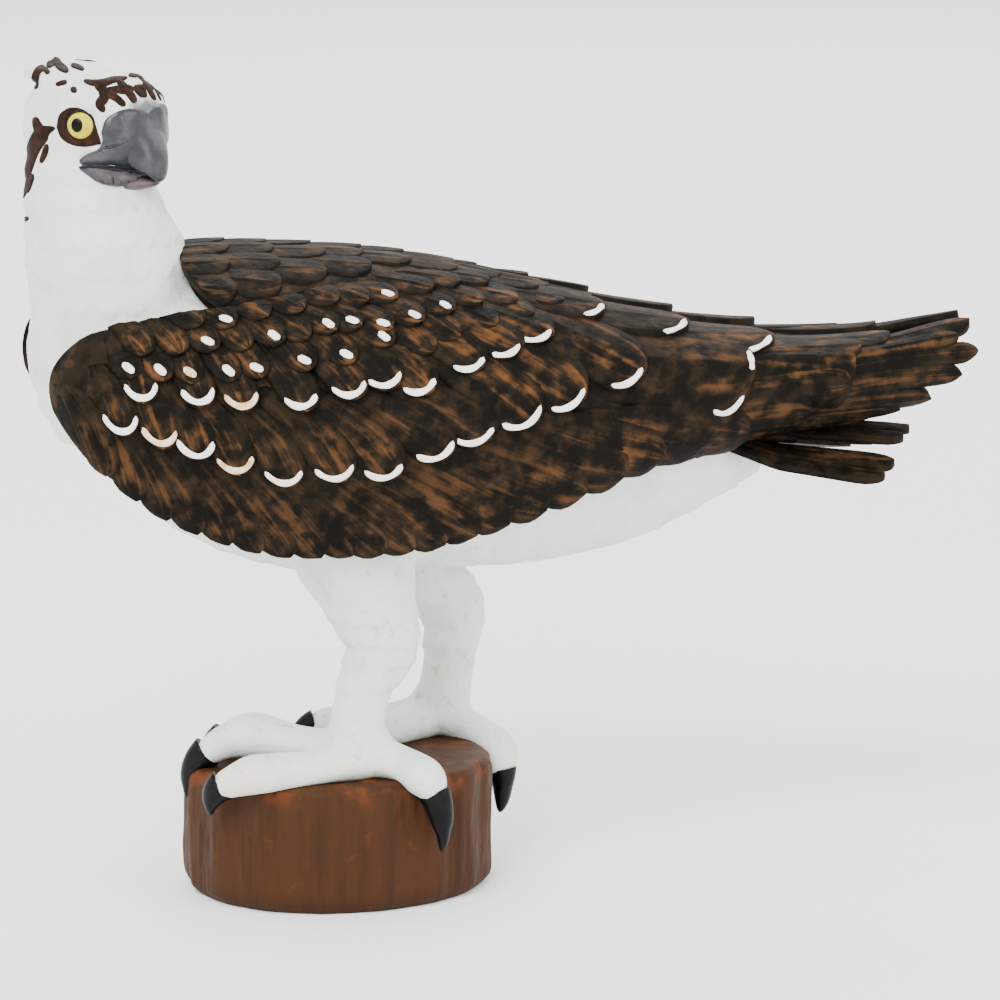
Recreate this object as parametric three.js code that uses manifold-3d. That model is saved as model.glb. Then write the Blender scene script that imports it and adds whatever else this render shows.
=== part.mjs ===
// Toy osprey on a round stump: a hand-painted, solid moulded figure, in millimetres.
// The bird faces -X with its tail to +X, its left wing is on -Y, and +Z is up.
// The origin is the middle of the stump's flat underside.
import * as THREE from "three";
import { mergeVertices } from "three/addons/utils/BufferGeometryUtils.js";
import Module from "manifold-3d";

const wasm = await Module();
wasm.setup();

// Driving dimensions
const GAP = 0.3;              // clear space between neighbouring pieces
const ENVELOPE_SLACK = 2.4;   // the cut below a slab is this many gaps deep, as facets stand proud of the curve
const STUMP_RADIUS_X = 16.9;
const STUMP_RADIUS_Y = 15.8;
const STUMP_HEIGHT = 14.2;
const STUMP_RIM = 1.1;        // how far the rim falls away at the top edge
const BARK_RIDGES = 17;
const BARK_DEPTH = 0.28;
const WING_THICKNESS = 2.6;
const MANTLE_THICKNESS = 2.4;
const MANTLE_SWEEP = 5.5;     // how far its front corners lie behind its middle
const VANE_ROOT = 0.6;         // how deep a feather is sunk into the wing
const VANE_CROWN = 0.35;       // how much a feather swells along its middle
const HEAD_CENTRE = [-25.6, 0.4, 83.9];
const HEAD_TURN = 48;         // degrees from the bird's left side towards its tail
const HEAD_LENGTH = 7.4;      // half lengths of the skull
const HEAD_WIDTH = 6.7;
const HEAD_HEIGHT = 6.9;
const HEAD_CROWN = 6.2;
const EYE_RADIUS = 1.75;
const EYE_FORWARD = 2.9;
const EYE_SIDE = 5.5;
const EYE_UP = 0.7;
const NECK_PLANE_Z = 77.4;    // the cut between head and neck
const COLLAR_PLANE = { normal: [-0.34, 0, 0.94], offset: 68.8 };  // between neck and torso
const TAIL_FEATHERS = 7;
const TAIL_ROOT_X = 36;
const TAIL_ROOT_Z = 51.4;
const ANKLE_Z = 19.6;

// The outer form of the folded wings and back, station by station along X
const STATION_X = [-33.0, -31.0, -27, -18, -6, 8, 22, 34, 46, 58, 66, 71];
const RIDGE_Z = [59.8, 64.0, 68.4, 70.5, 70.4, 69.0, 65.6, 62.2, 59.8, 59.2, 60.4, 61.2];
const WIDEST_Z = [57.8, 57.2, 56.4, 55.0, 53.4, 52.8, 53.6, 55.2, 56.6, 57.4, 57.6, 57.4];
const HALF_WIDTH = [6.0, 14.6, 18.2, 19.8, 20.4, 19.6, 17.2, 13.9, 10.6, 7.9, 6.0, 4.8];
const KEEL_Z = [54.0, 48.8, 41.2, 34.2, 30.2, 30.6, 35.4, 42.6, 47.2, 49.8, 51.4, 52.4];

// The white breast, belly and vent under the wings
const TORSO_X = [-31.9, -30.0, -26, -17, -5, 8, 20, 30, 38, 46.5];
const TORSO_TOP = [58.0, 63.4, 66.0, 67.8, 67.6, 66.2, 63.0, 59.2, 52.6, 49.4];
const TORSO_MIDDLE = [55.4, 55.0, 54.4, 52.4, 51.0, 51.0, 51.0, 50.4, 48.6, 47.2];
const TORSO_BOTTOM = [53.2, 51.6, 47.6, 40.0, 35.4, 35.2, 35.2, 36.8, 39.9, 44.4];
const TORSO_WIDTH = [5.0, 10.6, 14.4, 16.8, 17.4, 16.6, 13.8, 10.8, 8.0, 3.6];

const COLOURS = {
  white: 0xe6e9e2, dark: 0x33261d, brown: 0x6b4027, grey: 0x5c5f66, yellow: 0xe3d35c, black: 0x17181c,
};

const radians = THREE.MathUtils.degToRad;
const clamp = THREE.MathUtils.clamp;
const vec = (a) => new THREE.Vector3(...a);
const mix = (a, b, t) => a + (b - a) * t;

// Smooth value at x through the stations
function along(stations, values, x) {
  const last = stations.length - 1;
  if (x <= stations[0]) return values[0];
  if (x >= stations[last]) return values[last];
  let i = 0;
  while (x > stations[i + 1]) i += 1;
  const slope = (k) => {
    const a = Math.max(k - 1, 0);
    const b = Math.min(k + 1, last);
    return (values[b] - values[a]) / (stations[b] - stations[a]);
  };
  const h = stations[i + 1] - stations[i];
  const t = (x - stations[i]) / h;
  const t2 = t * t;
  const t3 = t2 * t;
  return (2 * t3 - 3 * t2 + 1) * values[i] + (t3 - 2 * t2 + t) * h * slope(i)
    + (3 * t2 - 2 * t3) * values[i + 1] + (t3 - t2) * h * slope(i + 1);
}

// One closed mesh from rings of points, each end closed with a fan
function loft(rings) {
  const n = rings[0].length;
  const points = rings.flat();
  const faces = [];
  for (let r = 0; r + 1 < rings.length; r += 1)
    for (let k = 0; k < n; k += 1) {
      const a = r * n + k;
      const b = r * n + ((k + 1) % n);
      faces.push([a, b, b + n], [a, b + n, a + n]);
    }
  const fan = (start, flip) => {
    const centre = new THREE.Vector3();
    for (let k = 0; k < n; k += 1) centre.add(points[start + k]);
    points.push(centre.divideScalar(n));
    const c = points.length - 1;
    for (let k = 0; k < n; k += 1) {
      const a = start + k;
      const b = start + ((k + 1) % n);
      faces.push(flip ? [c, b, a] : [c, a, b]);
    }
  };
  fan(0, true);
  fan((rings.length - 1) * n, false);
  return solid(points, faces);
}

// A manifold from points and triangles, turned right side out
function solid(points, faces) {
  const geometry = new THREE.BufferGeometry().setFromPoints(points);
  geometry.setIndex(faces.flat());
  const merged = mergeVertices(geometry, 1e-4);
  const index = Array.from(merged.index.array);
  const kept = [];
  for (let i = 0; i < index.length; i += 3) {
    const [a, b, c] = index.slice(i, i + 3);
    if (a !== b && b !== c && c !== a) kept.push(a, b, c);
  }
  const build = (triangles) => new wasm.Manifold(new wasm.Mesh({
    numProp: 3,
    vertProperties: merged.attributes.position.array,
    triVerts: new Uint32Array(triangles),
  }));
  const made = build(kept);
  if (made.volume() > 0) return made;
  const turned = [];
  for (let i = 0; i < kept.length; i += 3) turned.push(kept[i], kept[i + 2], kept[i + 1]);
  return build(turned);
}

const union = (solids) => solids.reduce((sum, s) => sum.add(s));

// The largest closed surface of a solid, without loose scraps
function largest(s) {
  const bodies = s.decompose();
  return bodies.reduce((best, b) => (b.volume() > best.volume() ? b : best));
}

// A round tube through stations of { p, rx, ry }, rx across and ry up
function tube(stations, sides, up = [0, 0, 1]) {
  const rings = stations.map((s, i) => {
    const before = vec(stations[Math.max(i - 1, 0)].p);
    const after = vec(stations[Math.min(i + 1, stations.length - 1)].p);
    const dir = after.sub(before).normalize();
    const side = new THREE.Vector3().crossVectors(dir, vec(up)).normalize();
    const top = new THREE.Vector3().crossVectors(side, dir).normalize();
    return Array.from({ length: sides }, (_, k) => {
      const a = (2 * Math.PI * k) / sides;
      return vec(s.p).addScaledVector(side, s.rx * Math.cos(a)).addScaledVector(top, s.ry * Math.sin(a));
    });
  });
  return loft(rings);
}

// A point of the outer form: angle 0 at the ridge of the back, 90 degrees at the side, raised by lift
function plumage(x, angle, lift = 0) {
  const ridge = along(STATION_X, RIDGE_Z, x);
  const widest = along(STATION_X, WIDEST_Z, x);
  const keel = along(STATION_X, KEEL_Z, x);
  const width = along(STATION_X, HALF_WIDTH, x);
  const a = radians(angle);
  const high = (angle < 90 ? ridge - widest : widest - keel) + lift;
  return new THREE.Vector3(x, -(width + lift) * Math.sin(a), widest + high * Math.cos(a));
}

// Local directions on the outer form: tail-wards, down round the side, and outwards
function plumageFrame(x, angle) {
  const step = 0.5;
  const back = plumage(x + step, angle).sub(plumage(x - step, angle)).divideScalar(2 * step);
  const down = plumage(x, angle + step).sub(plumage(x, angle - step)).divideScalar(2 * step);
  const out = new THREE.Vector3().crossVectors(down, back).normalize();
  return { back, down, out };
}

// Upper and lower edges of the folded wing, as angles on the outer form
const EDGE_X = [-32.3, -30.8, -27, -20.7, -11, -1.5, 11, 24, 40, 71];
const EDGE_UPPER = [76, 65, 55, 50, 42, 31, 12, 5, 2, 2];
const EDGE_LOWER = [102, 113, 118, 123, 125, 123, 123, 125, 128, 140];
const upperEdge = (x) => along(EDGE_X, EDGE_UPPER, x);
const lowerEdge = (x) => along(EDGE_X, EDGE_LOWER, x);

// A closed slab under the outer form between two angles, from depth below it to lift above it
function slab({ stations, upper, lower, depth, lift, across, sweep = () => 0 }) {
  const grid = (height) => stations.flatMap((x) => Array.from({ length: across + 1 }, (_, k) => {
    const at = x + sweep(x, (2 * k) / across - 1);
    const angle = mix(upper(x), lower(x), k / across);
    return plumage(at, angle).addScaledVector(plumageFrame(at, angle).out, height(x));
  }));
  return sheetSolid(grid(lift), grid((x) => -depth(x)), across, stations.length - 1);
}

const wingDepth = (x) => mix(WING_THICKNESS, 0.9, clamp((x - 20) / 50, 0, 1)) * clamp((x + 36.5) / 3, 0.5, 1);

// Where the wing's slab has a section
const WING_X = [-32.2, -31.2, -29.6, -27, -23, -18, -12, -6, 1, 8, 15, 22, 29, 36, 43, 50, 56, 61];

function wingEnvelope(grow) {
  return slab({
    stations: [WING_X[0] - 1.2 - grow, ...WING_X, 66, 72], across: 5,
    upper: (x) => upperEdge(x) - grow * 4, lower: (x) => lowerEdge(x) + 12 + grow * 3,
    depth: (x) => wingDepth(x) + ENVELOPE_SLACK * grow, lift: () => 3.2,
  });
}

// One feather laid on the outer form: tip at (x, angle), pointing below the tail-ward direction by lean
function vane({ x, angle, length, width, lean, rise = 0.9, columns = 2, rows = 3 }) {
  const frame = plumageFrame(x, angle);
  const perX = frame.back.length();
  const perAngle = frame.down.length();
  const c = Math.cos(radians(lean));
  const s = Math.sin(radians(lean));
  const layer = (bottom) => {
    const grid = [];
    for (let j = 0; j <= rows; j += 1) {
      const t = j / rows;
      const half = (width / 2) * Math.sqrt(Math.max(0.06, 1 - Math.pow(Math.max(0, (t - 0.45) / 0.56), 2.4)))
        * mix(0.72, 1, Math.min(1, t * 2));
      for (let i = 0; i <= columns; i += 1) {
        const side = (2 * i) / columns - 1;
        const forward = (t - 1) * length;
        const sideways = side * half;
        const px = x + (forward * c - sideways * s) / perX;
        const pa = angle + (forward * s + sideways * c) / perAngle;
        const local = plumageFrame(px, pa);
        const height = bottom ? -VANE_ROOT : mix(-0.1, rise, t) + VANE_CROWN * (1 - side * side);
        grid.push(plumage(px, pa).addScaledVector(local.out, height));
      }
    }
    return grid;
  };
  return sheetSolid(layer(false), layer(true), columns, rows);
}

// A closed plate between an upper and a lower grid, split into triangles alike on both faces
function sheetSolid(top, bottom, columns, rows) {
  const w = columns + 1;
  const points = [...top, ...bottom];
  const o = top.length;
  const faces = [];
  for (let j = 0; j < rows; j += 1)
    for (let i = 0; i < columns; i += 1) {
      const a = j * w + i;
      const b = a + 1;
      const d = a + w;
      const e = d + 1;
      faces.push([a, b, e], [a, e, d], [o + a, o + e, o + b], [o + a, o + d, o + e]);
    }
  const wall = (a, b) => faces.push([a, o + a, o + b], [a, o + b, b]);
  for (let i = 0; i < columns; i += 1) {
    wall(i, i + 1);
    wall(rows * w + i + 1, rows * w + i);
  }
  for (let j = 0; j < rows; j += 1) {
    wall((j + 1) * w, j * w);
    wall(j * w + columns, (j + 1) * w + columns);
  }
  return solid(points, faces);
}

// Tiers of wing feathers: where each tier's tips run, and the feathers' sizes there
const TIERS = [
  { name: "primaries", count: 6, x: [50, 69.8], angle: [140, 106], length: [27, 33], width: [5.8, 5.0],
    lean: [12, -3], rise: 0.5 },
  { name: "secondaries", count: 11, x: [-20, 37], angle: [121, 124], length: [16, 24], width: [6.4, 6.4],
    lean: [62, 26], rise: 0.7 },
  { name: "tertials", count: 5, x: [30, 70.2], angle: [24, 40], length: [22, 27], width: [7.4, 5.6],
    lean: [6, -2], rise: 0.9 },
  { name: "greater", count: 10, x: [-27, 32], angle: [103, 72], length: [12, 17], width: [6.4, 7.0],
    lean: [60, 20], rise: 1.0 },
  { name: "median", count: 8, x: [-25.5, 24], angle: [90, 44], length: [9, 12], width: [6.2, 6.4],
    lean: [56, 16], rise: 1.2 },
  { name: "lesser", count: 6, x: [-24.5, 14], angle: [76, 36], length: [8, 9], width: [5.8, 5.6],
    lean: [46, 12], rise: 1.4 },
];

function tierVanes(tier) {
  return Array.from({ length: tier.count }, (_, i) => {
    const t = i / (tier.count - 1);
    const at = ([a, b]) => mix(a, b, t);
    return vane({
      x: at(tier.x), angle: at(tier.angle), length: at(tier.length), width: at(tier.width),
      lean: at(tier.lean), rise: tier.rise,
    });
  });
}

function leftWing() {
  const core = slab({
    stations: WING_X, across: 5, upper: upperEdge, lower: lowerEdge,
    depth: wingDepth, lift: () => 0,
  });
  const vanes = union(TIERS.flatMap(tierVanes)).intersect(wingEnvelope(0));
  return largest(core.add(vanes).trimByPlane([0, -1, 0], GAP / 2));
}

function mantleEnvelope(grow) {
  return slab({
    stations: [-17.5 - grow, -12, -6, 1, 8, 15, 22, 29, 37], across: 6,
    upper: (x) => -upperEdge(x) - 4 - grow, lower: (x) => upperEdge(x) + 4 + grow,
    depth: () => MANTLE_THICKNESS + ENVELOPE_SLACK * grow, lift: () => (grow > 0 ? 1.8 : 0),
    sweep: (x, side) => MANTLE_SWEEP * Math.pow(side, 4) * clamp((-4 - x) / 13, 0, 1),
  });
}

function mantle(wingCuts) {
  const scallops = [];
  for (let row = 0; row < 4; row += 1)
    for (let k = 0; k < 5 - (row % 2); k += 1) {
      const x = -8.0 + row * 7.6;
      const spread = Math.min(upperEdge(x) * 0.7, 26);
      const across = row % 2 ? (k - 1.5) / 2 : (k - 2) / 2;
      scallops.push(vane({ x, angle: across * spread, length: 8.4, width: 6.4, lean: across * 14, rise: 0.7 }));
    }
  const body = mantleEnvelope(0).add(union(scallops));
  return largest(body.subtract(wingCuts).subtract(neck(2 * GAP)));
}

// The white body, its half-widths grown by grow
function torso(grow) {
  const sides = 18;
  const halfway = [2, 3, 4, 5, 6, 7, 8].map((i) => mix(TORSO_X[i], TORSO_X[i + 1], 0.5));
  const rings = [...TORSO_X, ...halfway].sort((a, b) => a - b).map((x) => Array.from({ length: sides }, (_, k) => {
    const a = (2 * Math.PI * k) / sides;
    const middle = along(TORSO_X, TORSO_MIDDLE, x);
    const up = Math.cos(a);
    const reach = up > 0 ? along(TORSO_X, TORSO_TOP, x) - middle : middle - along(TORSO_X, TORSO_BOTTOM, x);
    return new THREE.Vector3(x, (along(TORSO_X, TORSO_WIDTH, x) + grow) * Math.sin(a), middle + (reach + grow) * up);
  }));
  return loft(rings);
}

function neck(grow) {
  const stations = [
    [-19.6, 0, 54.0, 12.6, 11.0], [-22.2, 0, 60.5, 11.8, 10.9], [-23.5, 0, 66.0, 10.2, 9.5],
    [-24.8, 0, 71.0, 8.6, 8.6], [-25.6, 0.1, 76.0, 7.5, 7.6], [-25.7, 0.3, 80.5, 6.7, 6.9],
    [-25.6, 0.4, 84.0, 5.4, 5.6],
  ];
  return tube(stations.map(([x, y, z, rx, ry]) => ({ p: [x, y, z], rx: rx + grow, ry: ry + grow })), 20, [1, 0, 0]);
}

// The head's own directions: forward along the beak, left, and up
const headForward = new THREE.Vector3(Math.sin(radians(HEAD_TURN)), -Math.cos(radians(HEAD_TURN)), 0);
const headLeft = new THREE.Vector3(0, 0, 1).cross(headForward);

function headPoint(forward, left, up) {
  return vec(HEAD_CENTRE).addScaledVector(headForward, forward).addScaledVector(headLeft, left)
    .add(new THREE.Vector3(0, 0, up));
}

// A cosine or sine pushed outwards, for a section between a circle and a square
const boxy = (v) => Math.sign(v) * Math.pow(Math.abs(v), 0.86);

function skull() {
  const rings = [];
  const steps = 9;
  const sides = 16;
  for (let i = 0; i <= steps; i += 1) {
    const a = Math.PI * mix(0.03, 0.97, i / steps);
    const forward = -Math.cos(a) * HEAD_LENGTH;
    const size = Math.pow(Math.sin(a), 0.64);
    const ring = [];
    for (let k = 0; k < sides; k += 1) {
      const b = (2 * Math.PI * k) / sides;
      const height = Math.sin(b) > 0 ? HEAD_CROWN : HEAD_HEIGHT;
      ring.push(headPoint(forward, boxy(Math.cos(b)) * HEAD_WIDTH * size, boxy(Math.sin(b)) * height * size));
    }
    rings.push(ring);
  }
  return loft(rings);
}

// Short swept tufts that stand up behind the crown
function crest() {
  return Array.from({ length: 5 }, (_, i) => {
    const side = (i - 2) * 2.0;
    const root = headPoint(-1.4, side * 0.9, 4.4);
    const mid = headPoint(-3.4, side * 1.02, 5.6 - Math.abs(i - 2) * 0.25);
    const tip = headPoint(-5.4, side * 1.1, 6.3 - Math.abs(i - 2) * 0.45);
    return tube([
      { p: root.toArray(), rx: 1.3, ry: 1.1 },
      { p: mid.toArray(), rx: 1.4, ry: 0.9 },
      { p: tip.toArray(), rx: 0.7, ry: 0.5 },
    ], 6);
  });
}

// A beak half through stations of [forward, top, bottom, half-width]
function beakShell(stations, sides, grow) {
  const last = stations.length - 1;
  const rings = stations.map(([forward, top, bottom, half], i) => Array.from({ length: sides }, (_, k) => {
    const b = (2 * Math.PI * k) / sides;
    const up = mix(bottom - grow, top + grow, 0.5 + 0.5 * boxy(Math.sin(b)));
    return headPoint(forward + (i === last ? grow : 0), (half + grow) * boxy(Math.cos(b)), up);
  }));
  return loft(rings);
}

// The soft flange along the mouth, back to its corner
function gape(side, grow) {
  const r = 0.6 + grow;
  return tube([
    { p: headPoint(1.9 - grow, side * 4.7, -4.5).toArray(), rx: r * 0.8, ry: r * 0.8 },
    { p: headPoint(4.2, side * 4.1, -4.8).toArray(), rx: r, ry: r },
    { p: headPoint(6.5, side * 2.8, -5.0).toArray(), rx: r, ry: r },
  ], 8);
}

const upperBeak = (grow) => union([beakShell([
  [3.2, 1.4, -5.3, 3.6], [5.0, 1.7, -5.4, 3.5], [6.4, 1.3, -5.4, 3.2], [7.6, 0.4, -5.5, 2.7],
  [8.4, -0.9, -5.8, 2.1], [8.9, -2.4, -6.4, 1.5], [9.25, -4.2, -6.7, 0.9], [9.4, -5.6, -6.5, 0.4],
], 12, grow), gape(1, grow), gape(-1, grow)]);

const lowerBeak = (grow) => beakShell([
  [2.4, -5.2, -6.5, 3.3], [4.0, -5.2, -6.9, 3.3], [5.8, -5.3, -7.0, 2.7], [7.2, -5.4, -6.8, 1.8],
  [8.1, -5.6, -6.4, 0.9],
], 12, grow);

function eye(side, grow) {
  const geometry = new THREE.SphereGeometry(EYE_RADIUS + grow, 10, 7);
  const centre = headPoint(EYE_FORWARD, side * EYE_SIDE, EYE_UP);
  const at = geometry.attributes.position;
  const points = Array.from({ length: at.count }, (_, i) => new THREE.Vector3().fromBufferAttribute(at, i).add(centre));
  const index = Array.from(geometry.index.array);
  return solid(points, Array.from({ length: index.length / 3 }, (_, i) => index.slice(3 * i, 3 * i + 3)));
}

// The tail: flat feathers fanned from the vent, the middle ones on top
function tailFeather(k) {
  const off = k - (TAIL_FEATHERS - 1) / 2;
  const spread = radians(off * 5.0);
  const length = 27.5 - Math.abs(off) * 1.3;
  const columns = 2;
  const rows = 4;
  const layer = (under) => {
    const grid = [];
    for (let j = 0; j <= rows; j += 1) {
      const t = j / rows;
      const half = mix(1.6, 2.7, Math.min(1, t * 1.6)) * Math.sqrt(Math.max(0.1, 1 - Math.pow(Math.max(0, (t - 0.7) / 0.31), 2.2)));
      for (let i = 0; i <= columns; i += 1) {
        const side = (2 * i) / columns - 1;
        const d = t * length;
        const x = TAIL_ROOT_X + d * Math.cos(spread) - side * half * Math.sin(spread);
        const y = off * 1.1 + d * Math.sin(spread) + side * half * Math.cos(spread);
        const z = TAIL_ROOT_Z - 0.09 * d - Math.abs(off) * 0.8 - 0.012 * y * y + 0.35 * (1 - side * side);
        grid.push(new THREE.Vector3(x, y, z - (under ? 1.15 : 0)));
      }
    }
    return grid;
  };
  return sheetSolid(layer(false), layer(true), columns, rows);
}

function tail() {
  const root = tube([
    { p: [TAIL_ROOT_X - 2, 0, TAIL_ROOT_Z - 0.4], rx: 5.2, ry: 2.2 },
    { p: [TAIL_ROOT_X + 6, 0, TAIL_ROOT_Z - 1.4], rx: 5.4, ry: 1.8 },
    { p: [TAIL_ROOT_X + 14, 0, TAIL_ROOT_Z - 2.6], rx: 5.2, ry: 1.0 },
  ], 16);
  return union([root, ...Array.from({ length: TAIL_FEATHERS }, (_, k) => tailFeather(k))]);
}

// Legs: thigh, heel joint and feathered shank, then the foot
const LEGS = {
  left: {
    stations: [
      { p: [0.6, -9.0, 45.5], rx: 6.6, ry: 7.4 },
      { p: [1.0, -9.4, 39.0], rx: 5.8, ry: 6.8 },
      { p: [2.7, -9.6, 33.4], rx: 4.6, ry: 5.0 },
      { p: [4.0, -9.7, 28.4], rx: 3.5, ry: 4.0 },
      { p: [2.7, -9.6, 24.0], rx: 2.9, ry: 3.0 },
      { p: [1.9, -9.5, 19.4], rx: 3.0, ry: 3.1 },
      { p: [1.9, -9.5, 15.6], rx: 3.4, ry: 4.2 },
    ],
    toes: [
      [[2.0, -10.4, 16.2], [-4.6, -12.8, 15.8], [-10.4, -13.4, 15.4], [-14.0, -12.4, 14.0]],
      [[1.6, -8.8, 16.4], [-5.4, -6.8, 16.8], [-10.8, -4.8, 17.5], [-14.9, -3.6, 15.6]],
      [[1.6, -8.0, 16.4], [-4.0, -3.2, 16.2], [-9.0, 0.6, 16.8], [-12.6, 2.6, 15.6]],
      [[3.2, -10.0, 16.2], [6.2, -12.2, 15.6], [8.2, -13.8, 14.4], [9.2, -14.4, 12.6]],
    ],
  },
  right: {
    stations: [
      { p: [7.5, 8.6, 45.5], rx: 6.2, ry: 7.0 },
      { p: [8.4, 9.0, 39.0], rx: 5.2, ry: 5.0 },
      { p: [10.6, 9.2, 32.6], rx: 3.9, ry: 4.0 },
      { p: [14.0, 9.3, 28.4], rx: 3.3, ry: 3.6 },
      { p: [13.8, 9.2, 24.0], rx: 2.8, ry: 3.0 },
      { p: [13.2, 9.0, 19.4], rx: 2.9, ry: 2.9 },
      { p: [12.2, 8.8, 15.6], rx: 3.2, ry: 4.2 },
    ],
    toes: [
      [[10.8, 8.4, 16.0], [6.0, 4.6, 15.4], [1.4, 1.8, 15.4], [-2.0, 0.4, 14.8]],
      [[10.8, 9.2, 16.0], [5.6, 9.8, 15.2], [1.0, 10.2, 15.0], [-1.6, 10.4, 15.0]],
      [[12.8, 8.6, 16.2], [15.9, 6.6, 14.9], [18.5, 5.2, 12.8], [19.0, 4.7, 10.2]],
      [[11.6, 9.8, 16.6], [11.4, 12.8, 15.9], [11.4, 15.2, 14.2], [11.4, 16.2, 12.2]],
    ],
  },
};
const TOE_RADII = [2.7, 2.15, 2.45, 1.6];
const CLAW_LENGTHS = { left: [3.4, 6.0, 5.0, 6.2], right: [4.4, 4.4, 4.4, 5.6] };

// A toe's end, with the direction in which its claw leaves
function toeEnd(points) {
  const end = vec(points[3]);
  const dir = end.clone().sub(vec(points[2])).normalize();
  return { end, dir };
}

function toe(points) {
  const stations = points.map((p, i) => ({ p, rx: TOE_RADII[i], ry: TOE_RADII[i] * 0.88 }));
  return tube(stations, 8);
}

// A claw that curves down from the toe's end
function claw(points, length, grow = 0) {
  const { end, dir } = toeEnd(points);
  const down = new THREE.Vector3(0, 0, -1);
  const inward = new THREE.Vector3(-end.x, -end.y, 0).normalize();
  const steps = 5;
  let p = end.clone().addScaledVector(dir, GAP - grow);
  const stations = [];
  for (let i = 0; i <= steps; i += 1) {
    const t = i / steps;
    const r = 1.5 * Math.pow(1 - t, 0.72) + 0.16 + grow;
    stations.push({ p: p.toArray(), rx: r * 0.86, ry: r });
    const heading = dir.clone().multiplyScalar(1 - t).addScaledVector(down, 0.35 + t).addScaledVector(inward, 0.35 * t);
    p = p.clone().addScaledVector(heading.normalize(), length / steps);
  }
  return tube(stations, 8);
}

// The stump: an uneven round block with bark ridges and a softened top edge
function stump(grow) {
  const sides = 51;
  const levels = [
    [0, 0.94, 0.3], [1.3, 0.99, 1], [6.0, 0.985, 1], [10.5, 0.985, 1],
    [STUMP_HEIGHT - STUMP_RIM, 0.99, 0.8], [STUMP_HEIGHT - 0.35, 0.965, 0.4], [STUMP_HEIGHT, 0.925, 0],
  ];
  const rings = levels.map(([z, size, bark], level) => Array.from({ length: sides }, (_, k) => {
    const a = (2 * Math.PI * k) / sides;
    const wobble = 1 + 0.014 * Math.sin(2 * a + 0.6) + 0.012 * Math.sin(3 * a + 2);
    const ridge = bark * BARK_DEPTH * Math.sin(BARK_RIDGES * a + 0.7 * Math.sin(2 * a));
    const lift = level === levels.length - 1 ? grow : 0;
    return new THREE.Vector3(
      (STUMP_RADIUS_X * size * wobble + ridge + grow) * Math.cos(a),
      (STUMP_RADIUS_Y * size * wobble + ridge + grow) * Math.sin(a),
      z + lift,
    );
  }));
  return loft(rings);
}

// Assembly: each piece is cut clear of the one that carries it
const group = new THREE.Group();

function add(name, made, colour, roughness = 0.6) {
  const mesh = made.getMesh();
  const geometry = new THREE.BufferGeometry();
  const stride = mesh.numProp;
  const positions = new Float32Array(mesh.numVert * 3);
  for (let i = 0; i < mesh.numVert; i += 1)
    positions.set(mesh.vertProperties.subarray(i * stride, i * stride + 3), i * 3);
  geometry.setAttribute("position", new THREE.BufferAttribute(positions, 3));
  geometry.setIndex(new THREE.BufferAttribute(mesh.triVerts, 1));
  geometry.computeVertexNormals();
  const material = new THREE.MeshStandardMaterial({ color: colour, roughness, metalness: 0 });
  const node = new THREE.Mesh(geometry, material);
  node.name = name;
  group.add(node);
}

const mirrorY = (s) => s.mirror([0, 1, 0]);
const wingCutLeft = wingEnvelope(GAP);
const wingCuts = wingCutLeft.add(mirrorY(wingCutLeft));
const wingLeft = leftWing();
const wingRight = mirrorY(wingLeft);

const eyes = { left: eye(1, 0), right: eye(-1, 0) };
const eyeCuts = union([eye(1, GAP), eye(-1, GAP)]);
const beakLow = lowerBeak(0);
const beakLowCut = lowerBeak(GAP);
const beakTop = upperBeak(0).subtract(beakLowCut);
const beakCuts = upperBeak(GAP).add(beakLowCut);

const torsoWhole = torso(0);
const neckWhole = neck(0);
const headWhole = union([skull(), ...crest()]);
const mantleNode = mantle(wingCuts);
const cuts = union([wingCuts, mantleEnvelope(GAP), mantleNode.translate([0, 0, -GAP])]);

const n = COLLAR_PLANE.normal;
const down = n.map((v) => -v);
const whiteBody = torsoWhole.add(neckWhole).subtract(cuts);
const headNeck = neckWhole.add(headWhole);

const torsoNode = largest(whiteBody.trimByPlane(down, -COLLAR_PLANE.offset));
const neckNode = largest(whiteBody.trimByPlane(n, COLLAR_PLANE.offset + GAP)
  .trimByPlane([0, 0, -1], -NECK_PLANE_Z).subtract(beakCuts));
const headNode = largest(headNeck.trimByPlane([0, 0, 1], NECK_PLANE_Z + GAP).subtract(eyeCuts).subtract(beakCuts));

add("stump", stump(0), COLOURS.brown, 0.75);
add("torso", torsoNode, COLOURS.white);
add("neck", neckNode, COLOURS.white);
add("head", headNode, COLOURS.white);
add("beak_upper", largest(beakTop), COLOURS.grey, 0.45);
add("beak_lower", largest(beakLow), COLOURS.grey, 0.45);
add("eye_left", eyes.left, COLOURS.yellow, 0.3);
add("eye_right", eyes.right, COLOURS.yellow, 0.3);
add("wing_left", wingLeft, COLOURS.dark);
add("wing_right", wingRight, COLOURS.dark);
add("mantle", mantleNode, COLOURS.dark);

const tailNode = largest(tail().subtract(torso(GAP)).subtract(wingCuts));
add("tail", tailNode, COLOURS.dark);

const stumpCut = stump(GAP);
const torsoCut = torso(GAP);
for (const [side, leg] of Object.entries(LEGS)) {
  const shape = tube(leg.stations, 14, [1, 0, 0]).subtract(torsoCut).subtract(wingCuts);
  add(`leg_${side}`, largest(shape.trimByPlane([0, 0, 1], ANKLE_Z + GAP)), COLOURS.white);
  const ankle = tube(leg.stations, 14, [1, 0, 0]).trimByPlane([0, 0, -1], -ANKLE_Z);
  const clawCuts = union(leg.toes.map((points, i) => claw(points, CLAW_LENGTHS[side][i], GAP)));
  const foot = union([ankle, ...leg.toes.map(toe)]).subtract(stumpCut).subtract(clawCuts);
  leg.toes.forEach((points, i) => {
    const made = claw(points, CLAW_LENGTHS[side][i]).subtract(stumpCut);
    add(`claw_${side}_${i + 1}`, largest(made), COLOURS.black, 0.35);
  });
  add(`foot_${side}`, largest(foot), COLOURS.white);
}

export default group;
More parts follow.
